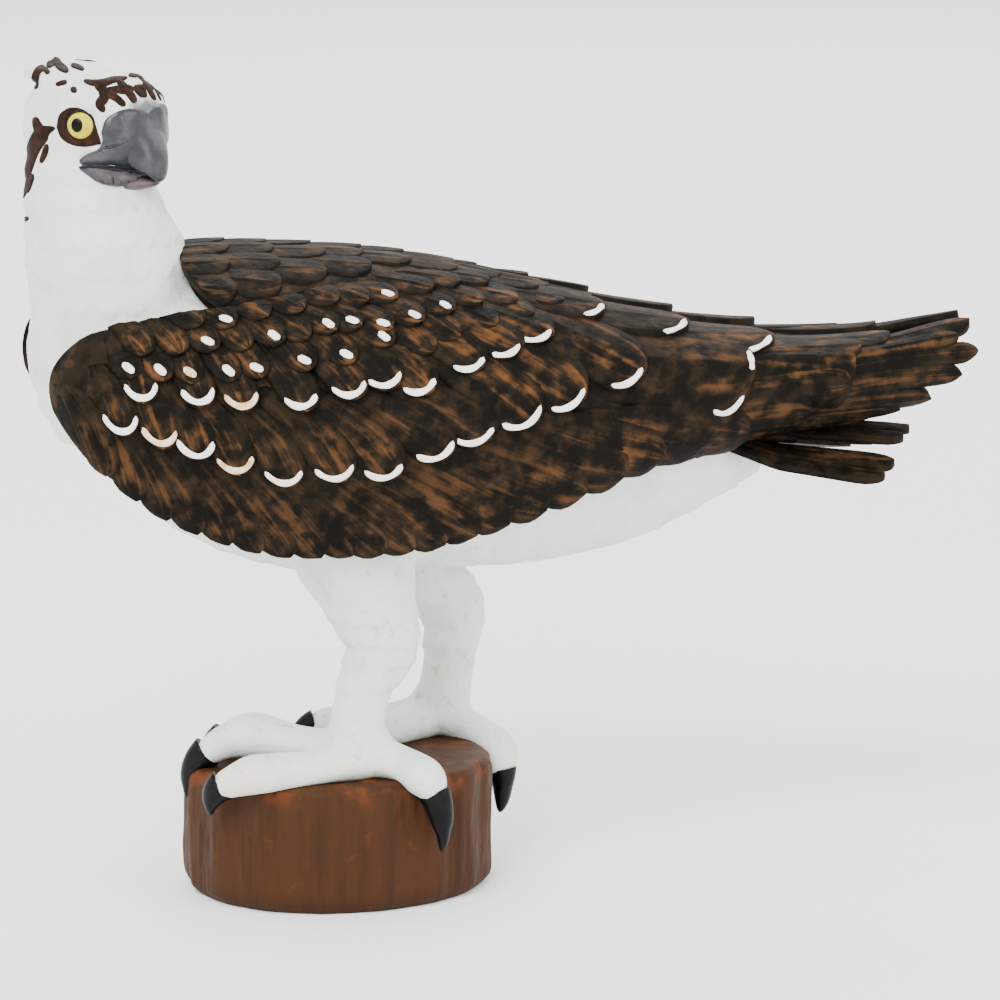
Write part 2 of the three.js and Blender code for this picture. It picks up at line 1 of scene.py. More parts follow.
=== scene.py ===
"""Toy osprey on a round stump: hand-painted, solid moulded vinyl.

Lengths in the tables are millimetres in the shared frame: the bird faces -X, its tail is towards +X,
its left wing is on -Y, +Z is up, and the origin is the middle of the stump's flat underside.
"""
import math
from collections import namedtuple

import bpy
import numpy as np
from mathutils import Matrix, Vector, noise
from mathutils.bvhtree import BVHTree


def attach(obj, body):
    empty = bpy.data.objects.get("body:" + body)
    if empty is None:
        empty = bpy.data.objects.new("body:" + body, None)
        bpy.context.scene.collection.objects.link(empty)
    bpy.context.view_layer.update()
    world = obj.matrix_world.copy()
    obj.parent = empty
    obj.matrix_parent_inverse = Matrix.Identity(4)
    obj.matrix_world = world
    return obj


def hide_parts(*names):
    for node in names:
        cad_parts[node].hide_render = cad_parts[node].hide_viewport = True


MM = 0.001
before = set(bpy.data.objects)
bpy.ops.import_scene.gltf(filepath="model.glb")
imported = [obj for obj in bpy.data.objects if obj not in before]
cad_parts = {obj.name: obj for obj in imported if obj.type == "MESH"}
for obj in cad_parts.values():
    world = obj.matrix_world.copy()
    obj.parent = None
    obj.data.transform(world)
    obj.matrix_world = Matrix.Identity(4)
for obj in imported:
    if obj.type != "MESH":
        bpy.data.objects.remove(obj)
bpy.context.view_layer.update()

# Camera: seen from the bird's left side, a little from above
CAMERA_AZIMUTH = -8
CAMERA_ELEVATION = 11
CAMERA_DISTANCE = 600
FRAME_WIDTH = 110  # millimetres across the picture at the target
PIXELS = 1000
BASE_PIXEL = (337, 879)  # where the middle of the stump's underside falls
SENSOR = 36

# Outer form of the folded wings and back, station by station along X
STATION_X = [-33, -31, -27, -18, -6, 8, 22, 34, 46, 58, 66, 71]
RIDGE_Z = [59.8, 64, 68.4, 70.5, 70.4, 69, 65.6, 62.2, 59.8, 59.2, 60.4, 61.2]
WIDEST_Z = [57.8, 57.2, 56.4, 55, 53.4, 52.8, 53.6, 55.2, 56.6, 57.4, 57.6, 57.4]
HALF_WIDTH = [6, 14.6, 18.2, 19.8, 20.4, 19.6, 17.2, 13.9, 10.6, 7.9, 6, 4.8]
KEEL_Z = [54, 48.8, 41.2, 34.2, 30.2, 30.6, 35.4, 42.6, 47.2, 49.8, 51.4, 52.4]
EDGE_X = [-31.5, -31.3, -30.7, -29.4, -27, -20.7, -11, -1.5, 11, 24, 40, 71]
EDGE_UPPER = [78, 68, 59, 53, 50, 48, 42, 31, 12, 5, 2, 2]
EDGE_LOWER = [94, 103, 109, 114, 118, 122, 125, 123, 123, 125, 128, 140]

# White breast, belly and vent
TORSO_X = [-31.9, -30, -26, -17, -5, 8, 20, 30, 38, 46.5]
TORSO_TOP = [58, 63.4, 66, 67.8, 67.6, 66.2, 63, 59.2, 52.6, 49.4]
TORSO_MIDDLE = [55.4, 55, 54.4, 52.4, 51, 51, 51, 50.4, 48.6, 47.2]
TORSO_BOTTOM = [53.2, 51.6, 47.6, 40, 35.4, 35.2, 35.2, 36.8, 39.9, 44.4]
TORSO_WIDTH = [5, 10.6, 14.4, 16.8, 17.4, 16.6, 13.8, 10.8, 8, 3.6]

HEAD_CENTRE = np.array([-25.6, 0.4, 83.9])
HEAD_TURN = math.radians(48)
HEAD_LENGTH, HEAD_WIDTH, HEAD_HEIGHT, HEAD_CROWN = 7.4, 6.7, 6.9, 6.2
EYE_RADIUS, EYE_FORWARD, EYE_SIDE, EYE_UP = 1.75, 2.9, 5.5, 0.7
TAIL_FEATHERS, TAIL_ROOT_X, TAIL_ROOT_Z = 7, 36, 51.4
STUMP_RADIUS_X, STUMP_RADIUS_Y, STUMP_HEIGHT, STUMP_RIM = 16.9, 15.8, 14.2, 1.1
BARK_RIDGES = 17
MANTLE_START, MANTLE_END, MANTLE_SWEEP, MANTLE_HALF_ANGLE = -17.2, 37, 6.5, 50
MANTLE_INSET = 0.9  # of the base, behind the front of its feathers


def along(stations, values, x):
    """Smooth value at x through the stations."""
    xs = np.asarray(stations, float)
    vs = np.asarray(values, float)
    x = np.clip(x, xs[0], xs[-1])
    last = len(xs) - 1
    i = np.clip(np.searchsorted(xs, x, side="left") - 1, 0, last - 1)
    index = np.arange(last + 1)
    below, above = np.maximum(index - 1, 0), np.minimum(index + 1, last)
    slope = (vs[above] - vs[below]) / (xs[above] - xs[below])
    h = xs[i + 1] - xs[i]
    t = (x - xs[i]) / h
    return ((2 * t**3 - 3 * t**2 + 1) * vs[i] + (t**3 - 2 * t**2 + t) * h * slope[i]
            + (3 * t**2 - 2 * t**3) * vs[i + 1] + (t**3 - t**2) * h * slope[i + 1])


def plumage(x, angle, lift=0):
    """Point of the outer form: angle 0 at the ridge of the back, 90 degrees at the left side."""
    ridge, widest = along(STATION_X, RIDGE_Z, x), along(STATION_X, WIDEST_Z, x)
    keel, width = along(STATION_X, KEEL_Z, x), along(STATION_X, HALF_WIDTH, x)
    a = np.radians(angle)
    high = np.where(np.abs(angle) < 90, ridge - widest, widest - keel) + lift
    return np.stack([x + 0 * a, -(width + lift) * np.sin(a), widest + high * np.cos(a)], -1)


def between(pair, t):
    return pair[0] + (pair[1] - pair[0]) * t


def ramp(value, start, reach, low=0):
    """Rises to 1 over a reach from the start."""
    return np.clip((value - start) / reach, low, 1)


def fade(value, end, reach):
    """Falls to 0 over a reach before the end."""
    return np.clip((end - value) / reach, 0, 1)


def unit(v):
    return v / np.maximum(np.linalg.norm(v, axis=-1, keepdims=True), 1e-9)


def plumage_frame(x, angle):
    step = 0.5
    back = (plumage(x + step, angle) - plumage(x - step, angle)) / (2 * step)
    down = (plumage(x, angle + step) - plumage(x, angle - step)) / (2 * step)
    return back, down, unit(np.cross(down, back))


def upper_edge(x):
    return along(EDGE_X, EDGE_UPPER, x)


def lower_edge(x):
    return along(EDGE_X, EDGE_LOWER, x)


class Shape:
    """Points in millimetres, faces, and what the materials read on each point."""

    def __init__(self):
        self.points, self.faces, self.vane, self.patch = [], [], [], []
        self.size = 0

    def add(self, points, faces, vane=None, patch=None):
        count = len(points)
        self.points.append(np.asarray(points, float))
        self.faces += [tuple(i + self.size for i in face) for face in faces]
        self.vane.append(np.zeros((count, 3)) if vane is None else vane)
        self.patch.append(np.zeros((count, 2)) if patch is None else patch)
        self.size += count

    def loft(self, rings):
        self.add(*loft(rings))

    def piece(self, name, material, slot, *nodes, **settings):
        hand_over(self.object(name, material, **settings), slot, *nodes)

    def object(self, name, material, mirror=False, patches=False):
        points = np.concatenate(self.points) * MM
        faces = self.faces
        if mirror:
            points = points * [1, -1, 1]
            faces = [face[::-1] for face in faces]
        mesh = bpy.data.meshes.new(name)
        mesh.from_pydata(points.tolist(), [], faces)
        if patches:
            values = np.concatenate(self.vane)
            layer = mesh.attributes.new("vane", "FLOAT_VECTOR", "POINT")
            layer.data.foreach_set("vector", values.astype(np.float32).ravel())
            corners = np.zeros(len(mesh.loops), np.int32)
            mesh.loops.foreach_get("vertex_index", corners)
            uv = mesh.uv_layers.new(name="OFBake")
            uv.data.foreach_set("uv", np.concatenate(self.patch)[corners].astype(np.float32).ravel())
        return finish_mesh(mesh, name, material)


def link(name, data):
    made = bpy.data.objects.new(name, data)
    bpy.context.scene.collection.objects.link(made)
    return made


def finish_mesh(mesh, name, material):
    mesh.validate()
    mesh.polygons.foreach_set("use_smooth", [True] * len(mesh.polygons))
    mesh.materials.clear()
    mesh.materials.append(material)
    return link(name, mesh)


def loft(rings):
    """Closed surface through rings of points, with a fan at each end."""
    rings = np.asarray(rings)
    count, sides = rings.shape[:2]
    points = np.concatenate([rings.reshape(-1, 3), rings[0].mean(0)[None], rings[-1].mean(0)[None]])
    corner = np.arange(count * sides).reshape(count, sides)
    beside = np.roll(corner, -1, 1)
    start = np.full(sides, count * sides)
    faces = np.stack([corner[:-1], beside[:-1], beside[1:], corner[1:]], -1).reshape(-1, 4).tolist()
    faces += np.stack([start, beside[0], corner[0]], -1).tolist()
    faces += np.stack([start + 1, corner[-1], beside[-1]], -1).tolist()
    return points, faces


def turn(sides):
    """Angles of equal steps round a circle."""
    return 2 * np.pi * np.arange(sides) / sides


def resample(table, rows):
    """Smooth values of each column of a table, at places counted in its rows."""
    table = np.asarray(table, float)
    index = np.arange(len(table))
    return np.stack([along(index, column, rows) for column in table.T], -1)


def tube(stations, sides, up=(0, 0, 1), samples=20):
    """Round tube through stations of x, y, z, half-width across and half-height."""
    p = resample(stations, np.linspace(0, len(stations) - 1, samples))
    centre = p[:, :3]
    direction = unit(np.gradient(centre, axis=0))
    side = unit(np.cross(direction, np.asarray(up, float)))
    top = unit(np.cross(side, direction))
    a = turn(sides)
    return (centre[:, None] + side[:, None] * (p[:, 3, None] * np.cos(a))[..., None]
            + top[:, None] * (p[:, 4, None] * np.sin(a))[..., None])


def hand_over(piece, slot, *nodes):
    """Tie a piece to the figure's one body and hide the solids that it replaces; the slot is not used."""
    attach(piece, "root")
    if nodes:
        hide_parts(*nodes)


def wobble(points, scale, seed=0):
    """Smooth noise from -1 to 1 at each point."""
    shift = Vector((seed, 2.3 * seed, -seed))
    return np.array([noise.noise(Vector(p) * scale + shift) for p in points])


class Paint:
    """A principled material built from nodes."""

    def __init__(self, name, roughness, specular=0.5, coat=0):
        self.material = bpy.data.materials.new(name)
        self.material.use_nodes = True
        self.tree = self.material.node_tree
        self.shader = self.tree.nodes["Principled BSDF"]
        self.shader.inputs["Roughness"].default_value = roughness
        self.shader.inputs["Specular IOR Level"].default_value = specular
        self.shader.inputs["Coat Weight"].default_value = coat
        self.shader.inputs["Coat Roughness"].default_value = 0.2
        place = self.node("ShaderNodeTexCoord", {}, "Object")
        self.mm = self.scaled(place, (1 / MM, 1 / MM, 1 / MM))

    def feed(self, socket, value):
        if isinstance(value, bpy.types.NodeSocket):
            self.tree.links.new(value, socket)
        else:
            socket.default_value = value

    def node(self, kind, inputs, output=0, **settings):
        """Add a node with these settings and inputs, and give back one of its outputs."""
        made = self.tree.nodes.new(kind)
        for key, value in settings.items():
            setattr(made, key, value)
        for key, value in inputs.items():
            self.feed(made.inputs[key], value)
        return made.outputs[output]

    def split(self, vector):
        made = self.tree.nodes.new("ShaderNodeSeparateXYZ")
        self.feed(made.inputs[0], vector)
        return made.outputs

    def scaled(self, a, b):
        return self.node("ShaderNodeVectorMath", {0: a, 1: b}, "Vector", operation="MULTIPLY")

    def distance(self, a, b):
        return self.node("ShaderNodeVectorMath", {0: a, 1: tuple(b)}, "Value", operation="DISTANCE")

    def math(self, operation, a, b=0, c=0):
        return self.node("ShaderNodeMath", {0: a, 1: b, 2: c}, operation=operation)

    def plus(self, a, b):
        return self.math("ADD", a, b)

    def times(self, a, b, added=None):
        return self.math("MULTIPLY", a, b) if added is None else self.math("MULTIPLY_ADD", a, b, added)

    def noise(self, scale, detail=3, vector=None, rough=0.55, stretch=None):
        where = self.mm if vector is None else vector
        if stretch:
            where = self.scaled(where, stretch)
        return self.node("ShaderNodeTexNoise",
                         {"Vector": where, "Scale": scale, "Detail": detail, "Roughness": rough}, "Fac")

    def step(self, value, low, high, to_low=0, to_high=1):
        return self.node("ShaderNodeMapRange", dict(enumerate((value, low, high, to_low, to_high))),
                         "Result", interpolation_type="SMOOTHSTEP")

    def mix(self, amount, *colours):
        a, b = ((*colour, 1) if isinstance(colour, tuple) else colour for colour in colours)
        return self.node("ShaderNodeMix", {0: amount, 6: a, 7: b}, 2, data_type="RGBA")

    def cover(self, colour, other, field, low, high, amount=1):
        """Put another colour where a field is high, by this amount."""
        return self.mix(self.step(field, low, high, 0, amount), colour, other)

    def done(self, colour, height=None, depth=0.1):
        self.feed(self.shader.inputs["Base Color"], colour)
        if height is not None:
            bump = {"Strength": 1, "Distance": depth * MM, "Height": height}
            self.feed(self.shader.inputs["Normal"], self.node("ShaderNodeBump", bump, "Normal"))
        return self.material


# Base colours; where a paint mixes two, its name holds both
WHITE = (0.7, 0.735, 0.68)
WHITE_COOL = (0.58, 0.655, 0.63)
WHITE_CREAM = (0.7, 0.66, 0.53)
FLECK = (0.5, 0.3, 0.11)
PINK_GREY = (0.2, 0.145, 0.145)
NEAR_BLACK = (0.0038, 0.0031, 0.002)
DARK_BROWN = (0.012, 0.0082, 0.0046)
WARM_BROWN = (0.034, 0.0195, 0.0095)
RUST = (0.15, 0.055, 0.015)
BARK_DARK = (0.026, 0.01, 0.0033)
BARK_MID = (0.042, 0.015, 0.0045)
BARK_RED = (0.11, 0.028, 0.007)
PUPIL_BLACK = (0.002, 0.002, 0.002)
IRIS_RIM_BLACK = (0.008, 0.004, 0.003)
BEAK_LIGHT = (0.052, 0.055, 0.062)
BEAK_GREYS = ((0.018, 0.019, 0.022), BEAK_LIGHT)
JAW_GREYS = ((0.04, 0.036, 0.041), (0.095, 0.074, 0.078))
MOUTH_BLACKS = ((0.006, 0.005, 0.006), (0.01, 0.009, 0.01))
CLAW_BLACKS = ((0.0016, 0.0015, 0.0015), (0.004, 0.004, 0.0045))
MARK_BROWNS = ((0.0085, 0.0032, 0.0016), (0.03, 0.01, 0.004))
STROKE_WHITES = ((0.86, 0.86, 0.84), (0.78, 0.72, 0.62))
STROKE_CREAMS = ((0.76, 0.66, 0.46), (0.6, 0.34, 0.14))
IRIS_YELLOWS = ((0.58, 0.47, 0.018), (0.44, 0.36, 0.03))
FLOOR_WHITES = ((0.93, 0.93, 0.93), (0.95, 0.95, 0.95))

# Reaches of paint in millimetres: full at the first, gone at the second
LORE_PLACE, LORE_REACH = (3.6, 5, -2.9), (0.5, 1.7)
BEAK_ROOT_PLACE, BEAK_ROOT_REACH = (6.6, 0, -1), (4.3, 5.6)
PUPIL_REACH, IRIS_REACH = (0.6, 0.7), (1.46, 1.58)
PUPIL_BACK, PUPIL_UP, PUPIL_FLATTEN = 0.28, 0.1, 0.86

BOXY_POWER = 0.86  # below 1, a section lies between a circle and a square
HEAD_FORWARD = np.array([math.sin(HEAD_TURN), -math.cos(HEAD_TURN), 0])
HEAD_LEFT = np.array([math.cos(HEAD_TURN), math.sin(HEAD_TURN), 0])
HEAD_UP = np.array([0, 0, 1])


def head_point(forward, left, up):
    return HEAD_CENTRE + HEAD_FORWARD * forward + HEAD_LEFT * left + HEAD_UP * up


def head_ring(forward, left, up):
    """Points across the head at one distance forward."""
    return head_point(forward, left[:, None], up[:, None])


def boxy(v):
    """A cosine or sine pushed outwards, for a section between a circle and a square."""
    return np.sign(v) * np.abs(v) ** BOXY_POWER


def white_material():
    p = Paint("white_paint", 0.5, 0.35)
    colour = p.cover(WHITE, WHITE_COOL, p.noise(0.16, 2), 0.48, 0.68)
    cream = p.noise(0.11, 3, stretch=(1, 1, 0.6))
    colour = p.cover(colour, WHITE_CREAM, cream, 0.56, 0.74, 0.7)
    low = p.step(p.split(p.mm)[2], 36, 50, 0.1, 0)
    worn = p.plus(p.noise(0.62, 5, rough=0.7), low)
    colour = p.cover(colour, FLECK, worn, 0.66, 0.82, 0.55)
    for sign in (-1, 1):
        lore = head_point(LORE_PLACE[0], sign * LORE_PLACE[1], LORE_PLACE[2])
        reach = p.distance(p.mm, lore)
        colour = p.mix(p.step(reach, *LORE_REACH, 0.75, 0), colour, PINK_GREY)
    reach = p.distance(p.mm, head_point(*BEAK_ROOT_PLACE))
    reach = p.plus(reach, p.times(p.noise(0.5, 2), 1.4))
    colour = p.mix(p.step(reach, *BEAK_ROOT_REACH, 0.9, 0), colour, BEAK_LIGHT)
    fine = p.noise(2.2, 4)
    broad = p.noise(0.7, 3, stretch=(1, 1, 0.45))
    height = p.plus(p.times(broad, 1.6), p.times(fine, 0.5))
    return p.done(colour, height, 0.16)


def feather_material():
    """Dark feathers: black rims, brown streaks along the middle and rust towards the tip."""
    p = Paint("dark_feathers", 0.6, 0.05)
    read = p.node("ShaderNodeAttribute", {}, "Vector", attribute_name="vane")
    side, reach, seed = p.split(read)
    edge = p.math("ABSOLUTE", side)
    own = p.node("ShaderNodeCombineXYZ", {0: p.times(side, 1.9, p.times(seed, 91)),
                                          1: p.times(reach, 1.3), 2: p.times(seed, 37)})
    streak = p.noise(1.5, 3, own)
    blot = p.noise(0.45, 3)
    value = p.times(blot, 0.4, p.times(streak, 0.6))
    middle = p.step(edge, 0.45, 0.9, 1, 0)
    outwards = p.step(reach, 0.2, 0.85)
    warmth = p.step(seed, 0, 0.9, 0.35, 1)
    warm = p.times(p.step(value, 0.45, 0.63), p.times(outwards, 0.7, 0.3))
    rusty = p.times(p.step(value, 0.5, 0.66), p.times(outwards, warmth))
    colour = p.cover(NEAR_BLACK, DARK_BROWN, blot, 0.4, 0.62)
    colour = p.mix(p.times(warm, middle), colour, WARM_BROWN)
    colour = p.mix(p.times(rusty, p.times(middle, 0.75)), colour, RUST)
    comb = p.times(reach, 62, p.times(edge, -7))
    comb = p.math("SINE", p.times(streak, 9, comb))
    height = p.times(comb, 0.08, p.times(p.noise(1.2, 5), 1.3))
    return p.done(colour, height, 0.12)


def down_material():
    """The wing and back between the raised feathers."""
    p = Paint("dark_base", 0.6, 0.05)
    colour = p.cover(NEAR_BLACK, DARK_BROWN, p.noise(0.24, 5, rough=0.62), 0.42, 0.6)
    colour = p.cover(colour, WARM_BROWN, p.noise(0.3, 5, rough=0.62), 0.5, 0.64, 0.8)
    colour = p.cover(colour, RUST, p.noise(0.37, 6, rough=0.66), 0.62, 0.76, 0.4)
    return p.done(colour, p.noise(0.8, 5), 0.35)


def stump_material():
    p = Paint("stump_brown", 0.6, 0.12)
    grain = p.noise(0.4, 5, stretch=(1.5, 1.5, 0.14), rough=0.6)
    colour = p.cover(BARK_DARK, BARK_MID, grain, 0.26, 0.56)
    colour = p.cover(colour, BARK_RED, p.noise(0.5, 4), 0.6, 0.78, 0.5)
    up = p.split(p.mm)[2]
    rim = p.step(up, 11, STUMP_HEIGHT, 0, 0.9)
    patch = p.step(p.noise(0.33, 4), 0.5, 0.66)
    colour = p.mix(p.times(rim, patch), colour, BARK_RED)
    # Painted shade: the bark darkens over the lowest 2.6 mm, where the stump turns under towards the floor
    low = p.step(up, 0, 2.6, 0.55, 0)
    colour = p.mix(low, colour, BARK_DARK)
    return p.done(colour, p.times(p.noise(1.6, 4), 0.4, grain), 0.15)


def plain_paint(name, colours, roughness, specular=0.5, coat=0, scale=0.9, depth=0.04):
    p = Paint(name, roughness, specular, coat)
    colour = p.mix(p.step(p.noise(scale, 4), 0.4, 0.68), *colours)
    return p.done(colour, p.noise(2.4, 3), depth)


def eye_material(side, pupil, pole):
    """Yellow iris with an upright oval pupil and a dark rim, by distance from the pupil and the pole."""
    p = Paint("eye_paint_" + side, 0.3, 0.1)
    flatten = (1, 1, PUPIL_FLATTEN)
    reach = p.distance(p.mm, pole)
    dark = p.distance(p.scaled(p.mm, flatten), pupil * flatten)
    iris = p.mix(p.step(p.noise(1.6, 3), 0.42, 0.62), *IRIS_YELLOWS)
    colour = p.mix(p.step(dark, *PUPIL_REACH, 1, 0), iris, PUPIL_BLACK)
    colour = p.mix(p.step(reach, *IRIS_REACH), colour, IRIS_RIM_BLACK)
    return p.done(colour)


white = white_material()
feather = feather_material()
down_dark = down_material()
bark = stump_material()
stroke_white = plain_paint("stroke_white", STROKE_WHITES, 0.42, scale=0.35)
stroke_cream = plain_paint("stroke_cream", STROKE_CREAMS, 0.45, scale=0.8)
mark_paint = plain_paint("mark_brown", MARK_BROWNS, 0.6, 0.1)
beak_paint = plain_paint("beak_grey", BEAK_GREYS, 0.3, 0.28, 0.18, 0.35, 0.06)
jaw_paint = plain_paint("jaw_grey", JAW_GREYS, 0.36, 0.25, 0.1, 0.4)
mouth_paint = plain_paint("mouth_black", MOUTH_BLACKS, 0.6, 0.2)
claw_paint = plain_paint("claw_black", CLAW_BLACKS, 0.36, 0.12)

TORSO_SIDES = 64


def torso_rings():
    first, last = TORSO_X[0], TORSO_X[-1]
    xs = np.concatenate([first + np.array([0, 0.25, 0.7]), np.linspace(first + 1.4, last, 70)])
    a = turn(TORSO_SIDES)
    middle = along(TORSO_X, TORSO_MIDDLE, xs)[:, None]
    above = along(TORSO_X, TORSO_TOP, xs)[:, None] - middle
    below = middle - along(TORSO_X, TORSO_BOTTOM, xs)[:, None]
    y = along(TORSO_X, TORSO_WIDTH, xs)[:, None] * np.sin(a)
    z = middle + np.where(np.cos(a) > 0, above, below) * np.cos(a)
    return np.stack([np.repeat(xs[:, None], TORSO_SIDES, 1), y, z], -1)


# Neck stations: x, y, z, half-width across and half-length
NECK = [
    [-19.6, 0, 54, 12.6, 11], [-22.2, 0, 60.5, 11.8, 10.9], [-23.6, 0, 66, 10.2, 9.1],
    [-25, 0, 71, 8.6, 8.2], [-25.9, 0.2, 76, 7.3, 7.1], [-25.8, 0.4, 80.5, 6.6, 6.6],
    [-25.6, 0.4, 84, 5.4, 5.6],
]
SKULL_RINGS, SKULL_SIDES = 33, 48
SKULL_FULLNESS = 0.64  # of the curve from end to end; 1 would be an ellipsoid
BACK_SHORTENING = 0.93
DIP_DEPTH, DIP_FORWARD, DIP_REACH = 0.7, 1, 2
TUFTS, TUFT_GAP = 7, 1.35
# Each tuft's stations: forward, share of its place across, up, drop at the sides, half-width, half-height
TUFT = [(-1.4, 0.9, 4.4, 0, 1.2, 1.1), (-3.4, 1.02, 5.7, 0.25, 1.05, 0.85), (-5.5, 1.1, 6.5, 0.45, 0.5, 0.42)]
# Brow over each eye: forward, left, up, half-width, half-height
BROW = [(1, 4.4, 3.9, 1.3, 0.9), (3.2, 4.9, 3.1, 1.5, 0.9), (5.2, 3.9, 2.1, 1.2, 0.8)]


def skull_rings():
    b = turn(SKULL_SIDES)
    rings = []
    for i in range(SKULL_RINGS):
        a = math.pi * (0.03 + 0.94 * i / (SKULL_RINGS - 1))
        size = math.sin(a) ** SKULL_FULLNESS
        forward = -math.cos(a) * HEAD_LENGTH * (1 if a > math.pi / 2 else BACK_SHORTENING)
        crown = HEAD_CROWN - DIP_DEPTH * math.exp(-((forward - DIP_FORWARD) / DIP_REACH) ** 2)
        height = np.where(np.sin(b) > 0, crown, HEAD_HEIGHT)
        rings.append(head_ring(forward, boxy(np.cos(b)) * HEAD_WIDTH * size,
                               boxy(np.sin(b)) * height * size))
    return rings


def crest_tubes():
    """Short swept tufts that stand up behind the crown."""
    for i in range(TUFTS):
        side = (i - TUFTS // 2) * TUFT_GAP
        yield tube([[*head_point(forward, side * share, up - drop * abs(side) / 2), across, high]
                    for forward, share, up, drop, across, high in TUFT], 12, samples=8)


# Leg stations: x, y, z, half-width across and half-length
LEG_STATIONS = {
    "left": [
        [0.6, -9, 45.5, 6.6, 7.4], [1, -9.4, 39, 5.8, 6.8], [2.7, -9.6, 33.4, 4.6, 5],
        [3.9, -9.7, 28.4, 3.4, 4], [2.1, -9.6, 24, 2.8, 3], [1.3, -9.5, 19.4, 2.9, 3.1],
        [1.9, -9.5, 15.6, 3.4, 4.2],
    ],
    "right": [
        [7.5, 8.6, 45.5, 6.2, 7], [8.4, 9, 39, 5.2, 5], [10.6, 9.2, 32.6, 3.9, 4],
        [14, 9.3, 28.4, 3.3, 3.6], [13.8, 9.2, 24, 2.8, 3], [13.2, 9, 19.4, 2.9, 2.9],
        [12.2, 8.8, 15.6, 3.2, 4.2],
    ],
}
# Points of each toe, from the ankle to the claw
TOES = {
    "left": [
        [[2, -10.4, 16.2], [-4.6, -12.8, 15.8], [-10.4, -13.4, 15.4], [-14, -12.4, 14]],
        [[1.6, -8.8, 16.4], [-5.4, -6.8, 16.8], [-10.8, -4.8, 17.5], [-14.9, -3.6, 15.6]],
        [[1.6, -8, 16.4], [-4, -3.2, 16.2], [-9, 0.6, 16.8], [-12.6, 2.6, 15.6]],
        [[3.2, -10, 16.2], [6.2, -12.2, 15.6], [8.2, -13.8, 14.4], [9.2, -14.4, 12.6]],
    ],
    "right": [
        [[10.8, 8.4, 16], [6, 4.6, 15.4], [1.4, 1.8, 15.4], [-2, 0.4, 14.8]],
        [[10.8, 9.2, 16], [5.6, 9.8, 15.2], [1, 10.2, 15], [-1.6, 10.4, 15]],
        [[12.8, 8.6, 16.2], [15.9, 6.6, 14.9], [18.5, 5.2, 12.8], [19, 4.7, 10.2]],
        [[11.6, 9.8, 16.6], [11.4, 12.8, 15.9], [11.4, 15.2, 14.2], [11.4, 16.2, 12.2]],
    ],
}
TOE_RADII = [2.7, 2.15, 2.45, 1.6]
CLAW_LENGTHS = {"left": [3.4, 6, 5, 6.2], "right": [4.4, 4.4, 4.4, 5.6]}
TOE_FLATTEN = 0.88
# Middles of the left and right legs, which their relief runs round
LEG_MIDDLE_X, LEG_MIDDLE_Y = (3, 12.5), (-9.6, 9.2)
# Length and breadth of the moulded small feathers
NECK_DOWN, LEG_DOWN, BELLY_DOWN = (3.4, 2.6), (2.6, 1.9), (4, 2.8)
SKIN_VOXEL, SMOOTH_FACTOR, SMOOTH_PASSES = 0.38, 0.5, 9
RELIEF_HEIGHT, SWELL_HEIGHT = 0.3, 0.12
# Heights where the relief of neck, legs and belly starts or ends, each with the reach of its fade
NECK_BAND, LEG_BAND, BELLY_END, VENT_X = ((60, 4), (90.5, 6)), ((21, 3), (36, 4)), (38, 4), 44
SOCKET_DEPTH, SOCKET_REACH, SOCKET_OUT = 0.3, 2.2, 0.7


def toe_rings(points):
    return tube([[*p, r, r * TOE_FLATTEN] for p, r in zip(points, TOE_RADII)], 20)


def relief(points):
    """Height of the moulded small feathers over the white parts."""
    x, y, z = points.T
    neck = ramp(z, *NECK_BAND[0]) * fade(z, *NECK_BAND[1])
    legs = fade(z, *LEG_BAND[1]) * ramp(z, *LEG_BAND[0])
    belly = np.clip(1 - neck - fade(z, *BELLY_END), 0, 1) * (x < VENT_X)
    around_neck = np.arctan2(y, x + 25) * 9
    leg_x, leg_y = np.where(y < 0, *LEG_MIDDLE_X), np.where(y < 0, *LEG_MIDDLE_Y)
    around_leg = np.arctan2(y - leg_y, x - leg_x) * 3.6
    height = np.zeros(len(points))
    shift = 0.9 * wobble(points * 0.22, 1, 3)
    for mask, u, v, (long, wide) in ((neck, -z, around_neck, NECK_DOWN), (legs, -z, around_leg, LEG_DOWN),
                                     (belly, x, y * 1.1 + z * 0.4, BELLY_DOWN)):
        row = u / long + 0.28 * shift
        column = v / wide + 0.5 * (np.floor(row) % 2) + 0.2 * shift
        b = 2 * (column - np.floor(column)) - 1
        a = row + 0.3 * b**2
        a = a - np.floor(a)
        height += mask * (a**1.6) * (1 - 0.45 * b**2) * fade(a, 1, 0.12)
    return height


